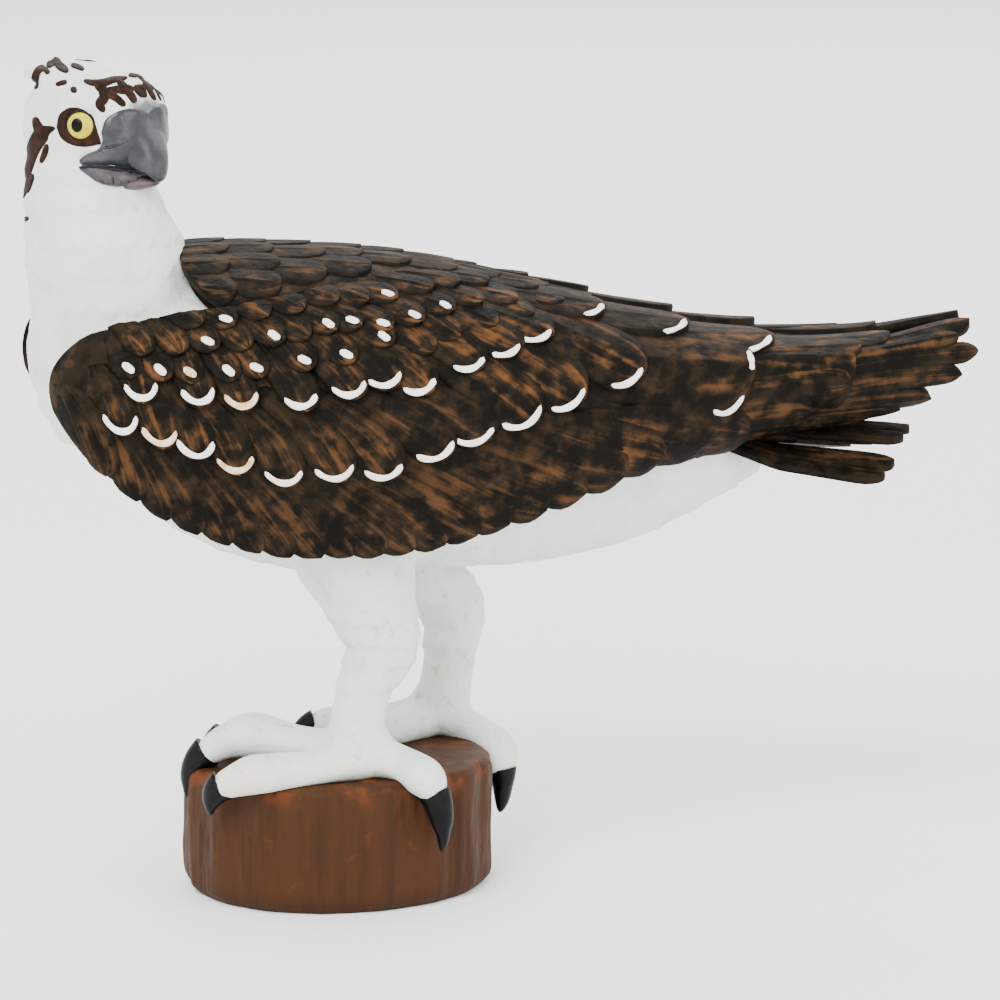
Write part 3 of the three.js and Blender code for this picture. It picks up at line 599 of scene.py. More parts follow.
def build_skin():
    """Torso, neck, head, legs and toes as one remeshed skin with the moulded relief."""
    shape = Shape()
    shape.loft(torso_rings())
    shape.loft(tube(NECK, 56, (1, 0, 0), 60))
    shape.loft(skull_rings())
    for rings in crest_tubes():
        shape.loft(rings)
    for side, toes in TOES.items():
        shape.loft(tube(LEG_STATIONS[side], 36, (1, 0, 0), 48))
        for points in toes:
            shape.loft(toe_rings(points))
    for side in (-1, 1):
        brow = [[*head_point(forward, side * left, up), across, high]
                for forward, left, up, across, high in BROW]
        shape.loft(tube(brow, 14, samples=12))
    rough = shape.object("skin_rough", white)
    remesh = rough.modifiers.new("remesh", "REMESH")
    remesh.mode = "VOXEL"
    remesh.voxel_size = SKIN_VOXEL * MM
    soft = rough.modifiers.new("soft", "SMOOTH")
    soft.factor = SMOOTH_FACTOR
    soft.iterations = SMOOTH_PASSES
    depsgraph = bpy.context.evaluated_depsgraph_get()
    mesh = bpy.data.meshes.new_from_object(rough.evaluated_get(depsgraph))
    bpy.data.objects.remove(rough)
    count = len(mesh.vertices)
    points = np.zeros(count * 3, np.float32)
    normals = np.zeros(count * 3, np.float32)
    mesh.vertices.foreach_get("co", points)
    mesh.vertices.foreach_get("normal", normals)
    points = points.reshape(-1, 3).astype(float) / MM
    normals = normals.reshape(-1, 3).astype(float)
    height = RELIEF_HEIGHT * relief(points) + SWELL_HEIGHT * wobble(points * 0.35, 1, 1)
    for side in (-1, 1):
        socket = head_point(EYE_FORWARD, side * (EYE_SIDE + SOCKET_OUT), EYE_UP)
        away = np.linalg.norm(points - socket, axis=1)
        height -= SOCKET_DEPTH * np.exp(-(away / SOCKET_REACH) ** 2)
    points += normals * height[:, None]
    mesh.vertices.foreach_set("co", (points * MM).astype(np.float32).ravel())
    mesh.update()
    return finish_mesh(mesh, "white_skin", white)


skin = build_skin()
skin_tree = BVHTree.FromObject(skin, bpy.context.evaluated_depsgraph_get())


# Points across a feather from rim to rim, and angles of the rows that round its tip
COLUMNS = np.array([-1, -0.95, -0.8, -0.55, -0.28, -0.07, 0, 0.07, 0.28, 0.55, 0.8, 0.95, 1])
TIP_TURN = np.radians([0, 22, 42, 58, 70, 79, 85])
CROWN = 0.32  # rise of a feather's middle over its rims
SHAFT, SHAFT_HALF = 0.1, 0.07
ROOT_SINK = 0.15  # of a feather's root, below the surface
RIM_DEPTH, RIM_LOWEST, CLOSING_HEIGHT = 0.9, -0.75, -0.8
RUFFLE = 0.1
PATCH_SIZE = 0.0015  # of one feather on the texture square
OFF_SURFACE = 0.2  # a short way up, which gives the direction off the surface
DASH_POINTS, DASH_REACH, DASH_BACK, DASH_BREADTH = 9, 0.72, 1.15, 0.44
STROKE_POINTS, STROKE_BREADTH, STROKE_INSET, STROKE_UNEVEN = 17, 0.36, 0.55, 0.13
STROKE_THICK = 0.11
# Section of a stroke: share of its half-width, and height
STROKE_PROFILE = [(-1, -0.04), (-0.75, 0.62 * STROKE_THICK), (-0.3, STROKE_THICK), (0.3, STROKE_THICK),
                  (0.75, 0.62 * STROKE_THICK), (1, -0.04), (0.8, -0.3), (-0.8, -0.3)]


class Vane:
    """One moulded feather. Local f runs to the tip (0 there, negative behind it), w across it."""

    def __init__(self, place, length, width, rise, seed, blunt=0.9, root=0.6, thick=None, crown=CROWN):
        self.place, self.length, self.width, self.rise = place, length, width, rise
        self.seed, self.root, self.thick, self.crown = seed, root, thick, crown
        self.tip = min(width * 0.5 * blunt + 0.4, length * 0.5)

    def half(self, f):
        round_tip = np.clip((f + self.tip) / self.tip, 0, 1)
        taper = np.clip((f + self.length) / (0.55 * self.length), 0, 1)
        narrow = self.root + (1 - self.root) * taper
        return self.width / 2 * np.sqrt(np.clip(1 - round_tip**2.4, 0, 1)) * narrow

    def height(self, f, s):
        t = 1 + f / self.length
        shaft = SHAFT * np.clip(1 - np.abs(s) / SHAFT_HALF, 0, 1) * np.clip(4 * (1 - t), 0, 1)
        return -ROOT_SINK + (self.rise + ROOT_SINK) * t**1.2 + self.crown * (1 - np.abs(s) ** 2.2) + shaft

    def rows(self):
        body = np.linspace(-self.length, -self.tip, max(5, int(self.length / 1.3)), endpoint=False)
        return np.concatenate([body, -self.tip + self.tip * np.sin(TIP_TURN)])

    def build(self, shape, patch):
        f = self.rows()
        rows, columns = len(f), len(COLUMNS)
        grid_f = np.repeat(f[:, None], columns, 1)
        s = np.repeat(COLUMNS[None], rows, 0)
        w = s * self.half(grid_f)
        ruffle = RUFFLE * np.sin(grid_f * 2.1 + 40 * self.seed) * np.abs(s) ** 3
        high = self.height(grid_f, s)
        if self.thick is None:
            sink = np.maximum(high - (self.rise + RIM_DEPTH), RIM_LOWEST)
        else:
            sink = high - self.thick
        high = np.where(np.abs(s) > 0.99, sink, high)
        top = self.place(grid_f + ruffle, w, high)
        end_w = s[-1] * self.half(f[-1]) * 0.8
        end = self.place(np.full(columns, 0.02), end_w, np.full(columns, high[-1, 0]))
        start = self.place(np.full(columns, f[0] - 0.1), w[0], np.full(columns, high[0, 0]))
        points = np.concatenate([start[None], top, end[None]]).reshape(-1, 3)
        total = rows + 2
        corner = np.arange(total * columns).reshape(total, columns)
        left, right = corner[:, 0], corner[:, -1]
        faces = np.stack([corner[:-1, :-1], corner[1:, :-1], corner[1:, 1:], corner[:-1, 1:]], -1)
        faces = faces.reshape(-1, 4).tolist()
        if self.thick is None:
            rim = np.concatenate([corner[0], right[1:], corner[-1, -2::-1], left[-2:0:-1]])
            faces += np.stack([rim, np.roll(rim, -1), np.full(len(rim), total * columns)], -1).tolist()
            centre = self.place(np.array([-self.length / 2]), np.array([0]), np.array([CLOSING_HEIGHT]))
            points = np.concatenate([points, centre])
        else:
            faces += np.stack([left[:-1], right[:-1], right[1:], left[1:]], -1).tolist()
            faces += [corner[0].tolist(), corner[-1, ::-1].tolist()]
        reach = np.concatenate([[0], 1 + f / self.length, [1]])
        vane = np.stack([np.repeat(COLUMNS[None], total, 0), np.repeat(reach[:, None], columns, 1),
                         np.full((total, columns), self.seed)], -1).reshape(-1, 3)
        if self.thick is None:
            vane = np.concatenate([vane, [[1, 0, self.seed]]])
        spot = np.asarray(patch) + PATCH_SIZE * (vane[:, :2] * [1, 2] - [0, 1])
        shape.add(points, faces, vane, spot)

    def on_top(self, f, w):
        """Points on the feather, and the directions off it."""
        high = self.height(f, np.clip(w / np.maximum(self.half(f), 0.5), -1, 1))
        path = self.place(f, w, high)
        return path, unit(self.place(f, w, high + OFF_SURFACE) - path)

    def dash(self, shape, slant):
        """A short dab of paint near the tip, slanted from the feather's own direction."""
        q = np.linspace(-1, 1, DASH_POINTS)
        slant = math.radians(slant)
        path, normal = self.on_top(-DASH_BACK + DASH_REACH * q * math.cos(slant),
                                   DASH_REACH * q * math.sin(slant))
        ribbon(shape, path, normal, DASH_BREADTH * np.sqrt(np.clip(1.04 - q**4, 0.03, 1)))

    def stroke(self, shape, start, end, breadth=STROKE_BREADTH):
        """A brushed line along the tip's rim, between two angles round the tip."""
        a = np.radians(np.linspace(start, end, STROKE_POINTS))
        q = np.linspace(-1, 1, STROKE_POINTS)
        path, normal = self.on_top(-self.tip + (self.tip - STROKE_INSET) * np.cos(a),
                                   (self.width / 2 - STROKE_INSET * 0.8) * np.sin(a))
        uneven = 1 + STROKE_UNEVEN * np.sin(5 * q + 30 * self.seed)
        ribbon(shape, path, normal, breadth * uneven * np.sqrt(np.clip(1.02 - q**8, 0.02, 1)))


def ribbon(shape, path, normal, half):
    """A closed, slightly domed band of paint along a path on a surface."""
    side = unit(np.cross(normal, unit(np.gradient(path, axis=0))))
    rings = [[p + sd * (h * across) + n * up for across, up in STROKE_PROFILE]
             for p, sd, n, h in zip(path, side, normal, half)]
    shape.loft(rings)


EDGE_GAP, FRONT_GAP = 0.8, 0.2  # degrees below the wing's upper edge, and millimetres behind a front


def chart_place(x, angle, lean, bend=0, length=10, inside=False, front=None):
    """Mapping from a feather's own f, w and height to the outer form, with the tip at (x, angle)."""
    back, down, _ = plumage_frame(np.float64(x), np.float64(angle))
    per_x, per_angle = np.linalg.norm(back), np.linalg.norm(down)
    c, s = math.cos(math.radians(lean)), math.sin(math.radians(lean))
    curve = math.radians(bend) / (2 * length)

    def place(f, w, height):
        w = w + curve * f**2
        px = x + (f * c - w * s) / per_x
        pa = angle + (f * s + w * c) / per_angle
        if inside:
            pa = np.maximum(pa, upper_edge(px) + EDGE_GAP)
        if front is not None:
            px = np.maximum(px, front(pa) + FRONT_GAP)
        out = plumage_frame(px, pa)[2]
        return plumage(px, pa) + out * np.asarray(height)[..., None]

    return place


ROUNDING, ROUNDING_FALL = 0.3, 0.9  # of a slab's edges: share per degree, and depth
WING_DEPTHS = (2.6, 0.9)  # of the wing's base, at the shoulder and at the tip
WING_THINNING, WING_FRONT = (20, 50), (-34.5, 3, 0.4)  # start and reach, and the least share
WING_BASE_X = np.concatenate([np.linspace(-31.5, -30, 14), np.linspace(-29.4, 61, 82)])


def slab(stations, upper, lower, depth, lift, front=None, across=30):
    """Closed slab under the outer form between two angles, with rounded edges.

    Where front(angle) is given, the slab starts behind that line."""
    rings = []
    for x in stations:
        k = np.linspace(0, 1, across + 1)
        angle = upper(x) + (lower(x) - upper(x)) * k
        at = np.full_like(angle, x)
        if front is not None:
            line = front(angle)
            at = line + (MANTLE_END - line) * (x - MANTLE_START) / (MANTLE_END - MANTLE_START)
        out = plumage_frame(at, angle)[2]
        place = plumage(at, angle)
        rim = np.clip(np.minimum(k, 1 - k) * (lower(x) - upper(x)) * ROUNDING, 0, 1)
        top = lift(x) - ROUNDING_FALL * (1 - np.sqrt(1 - (1 - rim) ** 2))
        rings.append(np.concatenate([place + out * top[:, None], (place - out * depth(x))[::-1]]))
    return loft(rings)


def mantle_front(angle):
    """Where the mantle starts: further back at its sides."""
    return MANTLE_START + MANTLE_SWEEP * (np.abs(angle) / MANTLE_HALF_ANGLE) ** 4


def wing_depth(x):
    """Depth of the wing's base, thinner towards the tip and at the very front."""
    return between(WING_DEPTHS, ramp(x, *WING_THINNING)) * ramp(x, *WING_FRONT)


# Rows of wing feathers. Pairs run from a row's first feather to its last, and each tip is (x, angle).
# Strokes run between two angles round the tip, and swing turns their start by the row's last feather.
Row = namedtuple("Row", "name length width lean bend rise rust tips thick blunt root crown strokes swing"
                 " second_stroke", defaults=(None, 0.95, 0.6, CROWN, None, 0, None))
ROWS = [
    Row("primary", (16, 34), (3.2, 2.2), (14, -2), (10, 4), 0.45, (0, 0.3),
        [(52, 134), (57.6, 140), (61.2, 138), (64.6, 130), (67.9, 107), (69.7, 80)], thick=0.9, blunt=2,
         root=1.2),
    Row("secondary", (11, 26), (4.6, 5.6), (72, 20), (20, 14), 0.95, (0, 0.32),
        [(-25.5, 113), (-22.5, 118), (-19.4, 121), (-16.2, 122.5), (-13, 123.5), (-9.8, 124),
         (-6.6, 123.8), (-3.4, 123.2), (-0.2, 122.6), (3, 122.4), (6.2, 122.2), (9.6, 121.6), (13, 120.6),
         (16.5, 119.8), (20.5, 118.6), (24.8, 117.4), (29.2, 117), (33.6, 117.6), (38.2, 119.5),
         (43.5, 123)]),
    Row("upper_primary", (34, 34), (2.6, 3), (-2, -4), (2, 0), 0.7, (0.1, 0.5),
        [(67.6, 56), (69.5, 30)], thick=0.9, blunt=1.8, root=1.8),
    Row("tertial", (22, 26), (4.4, 5), (8, 2), (8, 6), 0.85, (0.1, 0.6),
        [(50.5, 116), (54.6, 99), (55.4, 77), (56.6, 52), (60.5, 30)], blunt=0.9),
    Row("tertial_low", (20, 20), (7, 7), (10, 10), (8, 8), 1.1, (0.2, 0.6),
        [(44, 73)], strokes=(42, 104), second_stroke=(-24, 10, 0.34)),
    Row("tertial_high", (21, 15), (7.2, 6.8), (4, 6), (8, 10), 1.2, (0.2, 0.6),
        [(47, 34), (37.6, 24), (28.4, 23)], strokes=(6, 76)),
    Row("greater", (9, 20), (4.3, 6.6), (84, 34), (22, 30), 0.95, (0.25, 0.8),
        [(-24.1, 97), (-20, 98), (-16.1, 99.5), (-11.9, 101.5), (-6.7, 103), (-1.2, 100.8), (4.1, 100.3),
         (9.7, 95.2), (14.2, 91.4), (19.4, 87), (24.5, 79.8), (31.4, 69.5)], strokes=(-74, 78), swing=66),
    Row("median", (8, 13), (4.1, 5.3), (84, 30), (22, 26), 1.05, (0.4, 0.95),
        [(-22, 84.5), (-16, 83.5), (-11.3, 83), (-4.9, 81), (0.3, 76.5), (4.3, 72.5), (8.1, 74),
         (13.7, 65), (18, 57.5), (21.7, 49)], crown=0.28, strokes=(-72, 80), swing=66),
    Row("lesser_a", (6, 8), (3.7, 4.4), (80, 30), (14, 14), 0.95, (0.5, 1),
        [(-23.2, 75.4), (-19.9, 75.2), (-16.8, 75.2), (-12.7, 73.2), (-9.7, 71.2), (-4.6, 67.4),
         (-0.1, 64.7), (4.1, 57.6), (8.5, 59.2), (11.5, 53.2), (15.7, 46.2), (19.9, 38.2), (23.6, 25.2)],
         crown=0.2),
    Row("lesser_b", (6, 7), (3.6, 4.2), (66, 22), (12, 10), 0.9, (0.5, 1),
        [(-21.5, 65.5), (-17.9, 64.5), (-14.6, 62.9), (-11.1, 61.5), (-7.5, 58.9), (-4.7, 56.5),
         (-1.6, 53.3), (1, 51.5), (4.3, 51.9), (7.8, 47.5), (11.3, 41.5), (14.7, 34.5), (18.5, 30.5),
         (21.4, 14.5)], crown=0.2),
    Row("lesser_c", (6, 7), (3.8, 4.2), (52, 14), (10, 6), 0.7, (0.3, 0.8),
        [(-15.8, 53.5), (-12.3, 53), (-8.6, 48.5), (-4.8, 45), (-1, 40.5), (2.2, 40), (5.4, 37.4),
         (9.4, 30.5), (12.6, 24), (16, 18)], crown=0.18),
]
CREAM_STROKES = {("greater", 1), ("greater", 3), ("median", 2), ("lesser_a", 2)}
DOT_ROWS = {"lesser_a": range(8), "lesser_b": (2, 4, 6, 7, 8, 9, 10), "lesser_c": (1, 6)}

FAR_FRONT_SWELL, FAR_FRONT = 1.4, (-28.2, 2.6)  # of the far wing's front edge, which shows past the breast
# Random spreads: share of the length, degrees of lean, rise, degrees of a stroke's ends and of a dab
LENGTH_SPREAD, LEAN_SPREAD, RISE_SPREAD, STROKE_SPREADS, DASH_SPREAD = 0.08, 4, 0.12, (14, 10), 24
WING_SEED, MANTLE_SEED = 5, 8
DASH_LEAN = 38  # of the small dabs, below the direction of the tail


def jitter(draw, spread):
    """A random number within half the spread of zero."""
    return spread * (draw.random() - 0.5)


def chart_patch(x, angle):
    """A feather's own spot on the texture square."""
    return (x + 36) / 112, (angle + 4) / 160


def wing_objects(side, mirror):
    base, vanes, strokes, creams = Shape(), Shape(), Shape(), Shape()
    swell = FAR_FRONT_SWELL if mirror else 0
    base.add(*slab(WING_BASE_X, upper_edge, lower_edge, wing_depth,
                   lambda x: swell * fade(x, *FAR_FRONT)))
    draw = np.random.default_rng(WING_SEED)
    for row in ROWS:
        for i, (x, angle) in enumerate(row.tips):
            t = i / max(1, len(row.tips) - 1)
            pairs = row.length, row.width, row.lean, row.bend
            length, width, lean, bend = (between(pair, t) for pair in pairs)
            seed = between(row.rust, draw.random())
            length *= 1 + jitter(draw, LENGTH_SPREAD)
            place = chart_place(x, angle, lean + jitter(draw, LEAN_SPREAD), bend, length, row.thick is None)
            made = Vane(place, length, width, row.rise + jitter(draw, RISE_SPREAD), seed, row.blunt,
                        row.root, row.thick, row.crown)
            made.build(vanes, chart_patch(x, angle))
            target = creams if (row.name, i) in CREAM_STROKES else strokes
            if row.strokes:
                ends = row.strokes[0] + row.swing * t, row.strokes[1]
                made.stroke(target, *(end + jitter(draw, size) for end, size in zip(ends, STROKE_SPREADS)))
            elif i in DOT_ROWS.get(row.name, ()):
                made.dash(target, DASH_LEAN + jitter(draw, DASH_SPREAD) - lean)
            if row.second_stroke:
                made.stroke(target, *row.second_stroke)
    base.piece("wing_base_" + side, down_dark, "dark_feathers", mirror=mirror)
    vanes.piece("wing_feathers_" + side, feather, "dark_feathers", "wing_" + side,
                mirror=mirror, patches=True)
    strokes.piece("tip_strokes_" + side, stroke_white, "white_paint", mirror=mirror)
    creams.piece("cream_strokes_" + side, stroke_cream, "white_paint", mirror=mirror)


wing_objects("left", False)
wing_objects("right", True)


MANTLE_DEPTH, MANTLE_LIFT, MANTLE_OVERLAP = 2.4, 0.1, 4
MANTLE_ROWS, MANTLE_ROW_START, MANTLE_ROW_STEP = 9, -11.5, 4.9
MANTLE_GAP, MANTLE_FAN = 15, 10  # degrees from feather to feather, and their lean at the sides
MANTLE_LENGTH, MANTLE_WIDTH, MANTLE_RISE, MANTLE_CROWN = 11, 5.6, 0.4, 0.2


def mantle_objects():
    base, vanes = Shape(), Shape()
    base.add(*slab(np.linspace(MANTLE_START, MANTLE_END, 52), lambda x: -upper_edge(x) - MANTLE_OVERLAP,
                   lambda x: upper_edge(x) + MANTLE_OVERLAP, lambda x: MANTLE_DEPTH,
                   lambda x: MANTLE_LIFT, lambda angle: mantle_front(angle) + MANTLE_INSET))
    draw = np.random.default_rng(MANTLE_SEED)
    for row in range(MANTLE_ROWS):
        x = MANTLE_ROW_START + row * MANTLE_ROW_STEP
        spread = upper_edge(x) + 2
        count = max(2, int(round(2 * spread / MANTLE_GAP))) + row % 2
        for k in range(count):
            across = (k + 0.5) / count * 2 - 1
            place = chart_place(x + draw.random() - 0.5, across * spread, across * MANTLE_FAN,
                                length=MANTLE_LENGTH, front=mantle_front)
            made = Vane(place, MANTLE_LENGTH + 3 * draw.random(), MANTLE_WIDTH, MANTLE_RISE,
                        0.15 * draw.random(), crown=MANTLE_CROWN)
            made.build(vanes, (chart_patch(x, 0)[0], 0.5 + across * 0.3))
    base.piece("mantle_base", down_dark, "dark_feathers")
    vanes.piece("mantle_feathers", feather, "dark_feathers", "mantle", patches=True)


mantle_objects()


TAIL_LENGTH, TAIL_SHORTENING, TAIL_WIDTH = 27.5, 1.3, 5.2
TAIL_FAN, TAIL_STEP = 5, 1.1  # degrees and millimetres from one feather to the next
TAIL_SLOPE, TAIL_ARCH = 0.09, 0.012
TAIL_DROP, TAIL_LAYER, TAIL_MIDDLE, TAIL_DROP_REACH = 0.3, 1.7, 1.5, 12
# The tail's root: along and up from where it starts, half-width and half-height
TAIL_ROOT = [(-2, -0.4, 5.2, 2.2), (6, -1.4, 5.4, 1.8), (14, -2.6, 5.2, 1)]
TAIL_ROOT_VANE, TAIL_ROOT_PATCH = [0.5, 0.2, 0.4], [0.5, 0.02]


def tail_drop(off):
    """The outer feathers lie in a layer below the middle ones."""
    return TAIL_DROP * abs(off) + (TAIL_LAYER if abs(off) > TAIL_MIDDLE else 0)


def tail_object():
    shape = Shape()
    for k in range(TAIL_FEATHERS):
        off = k - (TAIL_FEATHERS - 1) / 2
        spread = math.radians(off * TAIL_FAN)
        length = TAIL_LENGTH - abs(off) * TAIL_SHORTENING

        def place(f, w, height, off=off, spread=spread, length=length):
            d = f + length
            x = TAIL_ROOT_X + d * math.cos(spread) - w * math.sin(spread)
            y = off * TAIL_STEP + d * math.sin(spread) + w * math.cos(spread)
            drop = tail_drop(off) * np.clip(d / TAIL_DROP_REACH, 0, 1)
            z = TAIL_ROOT_Z - TAIL_SLOPE * d - drop - TAIL_ARCH * y * y + height
            return np.stack([x, y, z], -1)

        made = Vane(place, length - 1, TAIL_WIDTH, 0, 0.07 * k + 0.03, 1.1, root=0.7, thick=0.5)
        made.build(shape, (0.2 + 0.1 * k, 0.1))
    points, faces = loft(tube([[TAIL_ROOT_X + back, 0, TAIL_ROOT_Z + up, across, high]
                               for back, up, across, high in TAIL_ROOT], 24, samples=16))
    count = (len(points), 1)
    shape.add(points, faces, np.tile(TAIL_ROOT_VANE, count), np.tile(TAIL_ROOT_PATCH, count))
    shape.piece("tail_feathers", feather, "dark_feathers", "tail", patches=True)


tail_object()


def camera_axes():
    azimuth, elevation = math.radians(CAMERA_AZIMUTH), math.radians(CAMERA_ELEVATION)
    right = np.array([math.cos(azimuth), math.sin(azimuth), 0])
    back = np.array([math.sin(azimuth) * math.cos(elevation), -math.cos(azimuth) * math.cos(elevation),
                     math.sin(elevation)])
    return right, np.cross(back, right), back


RIGHT, UP, BACK = camera_axes()
SCALE = FRAME_WIDTH / PIXELS
TARGET = RIGHT * (PIXELS / 2 - BASE_PIXEL[0]) * SCALE + UP * (BASE_PIXEL[1] - PIXELS / 2) * SCALE
EYE = TARGET + BACK * CAMERA_DISTANCE


def seat(px, py):
    """Where the sight line through a pixel of the picture meets the white skin, with the normal there."""
    through = TARGET + RIGHT * (px - PIXELS / 2) * SCALE - UP * (py - PIXELS / 2) * SCALE
    ray = unit(through - EYE)
    hit, normal, _, _ = skin_tree.ray_cast(Vector(EYE * MM), Vector(ray))
    if hit is None:
        beside = EYE + ray * ((HEAD_CENTRE - EYE) @ ray)
        hit, normal, _, _ = skin_tree.find_nearest(Vector(beside * MM))
    return np.array(hit) / MM, np.array(normal)


# Brushed marks as they show in the picture: pixels along each stroke with its half-width in pixels
HEAD_MARKS = [
    [(36, 89, 2.6), (35, 80, 3.4), (38, 71, 3.2), (45, 67, 2.8)],
    [(44, 68, 2.6), (49, 74, 1.6)],
    [(47, 67, 3), (55, 61, 3.4), (60, 66, 3.6), (68, 72, 3)],
    [(71, 65, 1.6), (78, 67, 2), (84, 70, 1.2)],
    [(56, 85, 1.2), (62, 83, 1.8), (67, 82, 1.2)],
    [(71, 89, 1.8), (74, 90, 2.4), (77, 90, 1.8)],
    [(84, 81, 1.6), (93, 83, 2.6), (103, 83, 3.4), (113, 80, 2.8), (127, 78, 1.6)],
    [(95, 85, 3), (103, 90, 4.6), (104, 98, 4.6), (100, 104, 4.4), (104, 112, 2.6)],
    [(106, 93, 3.4), (116, 98, 3.2), (125, 106, 2.6)],
    [(117, 79, 2.6), (126, 89, 3.4), (132, 97, 3.2), (135, 103, 2.4)],
    [(134, 86, 2.2), (139, 91, 3.2), (144, 97, 2.4)],
    [(143, 82, 1.8), (148, 87, 2.4), (152, 91, 1.6)],
    [(55, 128, 1.8), (48, 130, 4.4), (42, 134, 8), (36, 143, 7.4), (32, 153, 6), (29, 163, 5.2),
     (26, 174, 4.8), (24, 186, 4.2), (23, 198, 3)],
    [(35, 117, 1.8), (37, 124, 4), (40, 132, 5.2)],
    [(47, 144, 1.6), (45, 153, 2.4), (41, 163, 1.6)],
    [(33, 174, 1.8), (29, 185, 2.6), (26, 193, 2)],
    [(25, 217, 1.6), (26, 219, 2.2), (27, 221, 1.6)],
]
# Dark skin round the eye, as pixels of its outline
EYE_RING = [(56, 127), (58.5, 115), (66, 108.5), (74, 107), (83, 109), (91, 115), (95.5, 123), (98.5, 133),
            (101.5, 143.5), (97, 145.5), (89, 147), (78, 147), (68, 144), (60, 137.5)]
EYE_RING_MIDDLE = np.array([78, 126])
EYE_RING_LEVELS = [(0.5, 0.2), (0.75, 0.2), (0.93, 0.16), (1, -0.05), (0.8, -0.5)]
CREST_LINE = 70  # pixels; a mark that starts above it lies on the ridge of the crest
NARROWEST = 0.9  # pixels
# Section of a mark: share of its half-width, and height
MARK_PROFILE = [(-1, -0.04), (-0.86, 0.1), (-0.45, 0.13), (0, 0.14), (0.45, 0.13), (0.86, 0.1),
                (1, -0.04), (0.7, -0.35), (-0.7, -0.35)]


def smooth_path(points, per_span=6):
    spans = len(points) - 1
    return resample(points, np.linspace(0, spans, per_span * spans + 1))


def settle(points):
    """Nearest points on the white skin and the normals there."""
    found = [skin_tree.find_nearest(Vector(p * MM)) for p in points]
    return np.array([f[0] for f in found]) / MM, unit(np.array([f[1] for f in found]))


def mirrored(points):
    away = (points - HEAD_CENTRE) @ HEAD_LEFT
    return points - 2 * away[:, None] * HEAD_LEFT


def on_skin(pixels, mirror=False):
    """Points on the white skin under pixels of the picture, or under their mirror image, with the normals."""
    found = [seat(px, py) for px, py in pixels]
    points = np.array([f[0] for f in found])
    if mirror:
        return settle(mirrored(points))
    return points, unit(np.array([f[1] for f in found]))


def paint_line(shape, mark, mirror, lift=0):
    """A closed band of paint on the white skin along pixels of the picture, as wide as each point says."""
    across, height = np.array(MARK_PROFILE).T
    table = smooth_path(mark)
    middle = table[:, :2]
    direction = unit(np.gradient(middle, axis=0))
    sideways = np.stack([-direction[:, 1], direction[:, 0]], -1)
    q = np.linspace(-1, 1, len(table))
    half = table[:, 2] * np.sqrt(np.clip(1.01 - q**6, 0, 1)) + NARROWEST
    rings = []
    for centre, side, wide in zip(middle, sideways, half):
        points, normals = on_skin(centre + side * (across * wide)[:, None], mirror)
        rings.append(points + normals * (height + lift)[:, None])
    shape.loft(rings)


def skin_patch(shape, outline, middle, levels, mirror):
    """A closed low form on the skin inside an outline in pixels; levels are (share of its size, height)."""
    outline = smooth_path(outline + outline[:1], 5)[:-1]
    rows = []
    for size, lift in levels:
        points, normals = on_skin(middle + (outline - middle) * size, mirror)
        rows.append(points + normals * lift)
    shape.loft(rows)


def head_marks():
    shape = Shape()
    for mark in HEAD_MARKS:
        paint_line(shape, mark, False)
        if mark[0][1] > CREST_LINE:
            paint_line(shape, mark, True)
    shape.piece("head_marks", mark_paint, "dark_feathers")


head_marks()

EYE_AXIS_FORWARD = 0.5


def eye_objects(side, sign):
    centre = head_point(EYE_FORWARD, sign * EYE_SIDE, EYE_UP)
    axis = unit(HEAD_LEFT * sign + HEAD_FORWARD * EYE_AXIS_FORWARD)
    across = unit(np.cross(axis, HEAD_UP))
    top = np.cross(across, axis)
    a = turn(40)
    rings = []
    for polar in np.radians(np.linspace(2, 178, 30)):
        r, h = EYE_RADIUS * math.sin(polar), EYE_RADIUS * math.cos(polar)
        rings.append(centre + axis * h + across * (r * np.cos(a))[:, None] + top * (r * np.sin(a))[:, None])
    ball, ring = Shape(), Shape()
    ball.loft(rings)
    pole = centre + axis * EYE_RADIUS
    pupil = pole - HEAD_FORWARD * PUPIL_BACK + HEAD_UP * PUPIL_UP
    ball.piece("eye_" + side + "_ball", eye_material(side, pupil, pole), "eye_yellow", "eye_" + side)
    skin_patch(ring, EYE_RING, EYE_RING_MIDDLE, EYE_RING_LEVELS, sign > 0)
    ring.piece("eye_ring_" + side, mark_paint, "dark_feathers")


eye_objects("right", -1)
eye_objects("left", 1)

# Beak halves through stations of forward, top, bottom and half-width
UPPER_BEAK = [
    [3.2, 2, -4.6, 3.9], [4.8, 2.1, -4.7, 3.9], [6.1, 1.7, -4.7, 3.6], [7.2, 0.7, -4.8, 3.1],
    [8.1, -0.5, -5, 2.4], [8.7, -1.9, -5.4, 1.75], [9, -3.4, -5.5, 1.1], [9.1, -4.3, -5.4, 0.6],
    [9.15, -4.8, -5.1, 0.2],
]
LOWER_BEAK = [
    [2.2, -4.9, -6, 2.9], [3, -4.9, -6.5, 3.8], [4.2, -4.9, -6.8, 3.8], [5.8, -5, -6.75, 3.3],
    [7.2, -5.1, -6.4, 2.3], [8, -5.3, -6.1, 1.3], [8.3, -5.5, -5.9, 0.5],
]
NOSTRIL = [(5.9, 3.72, 0.1, 0.1), (6.4, 3.56, 0, 0.26), (6.9, 3.34, -0.25, 0.1)]
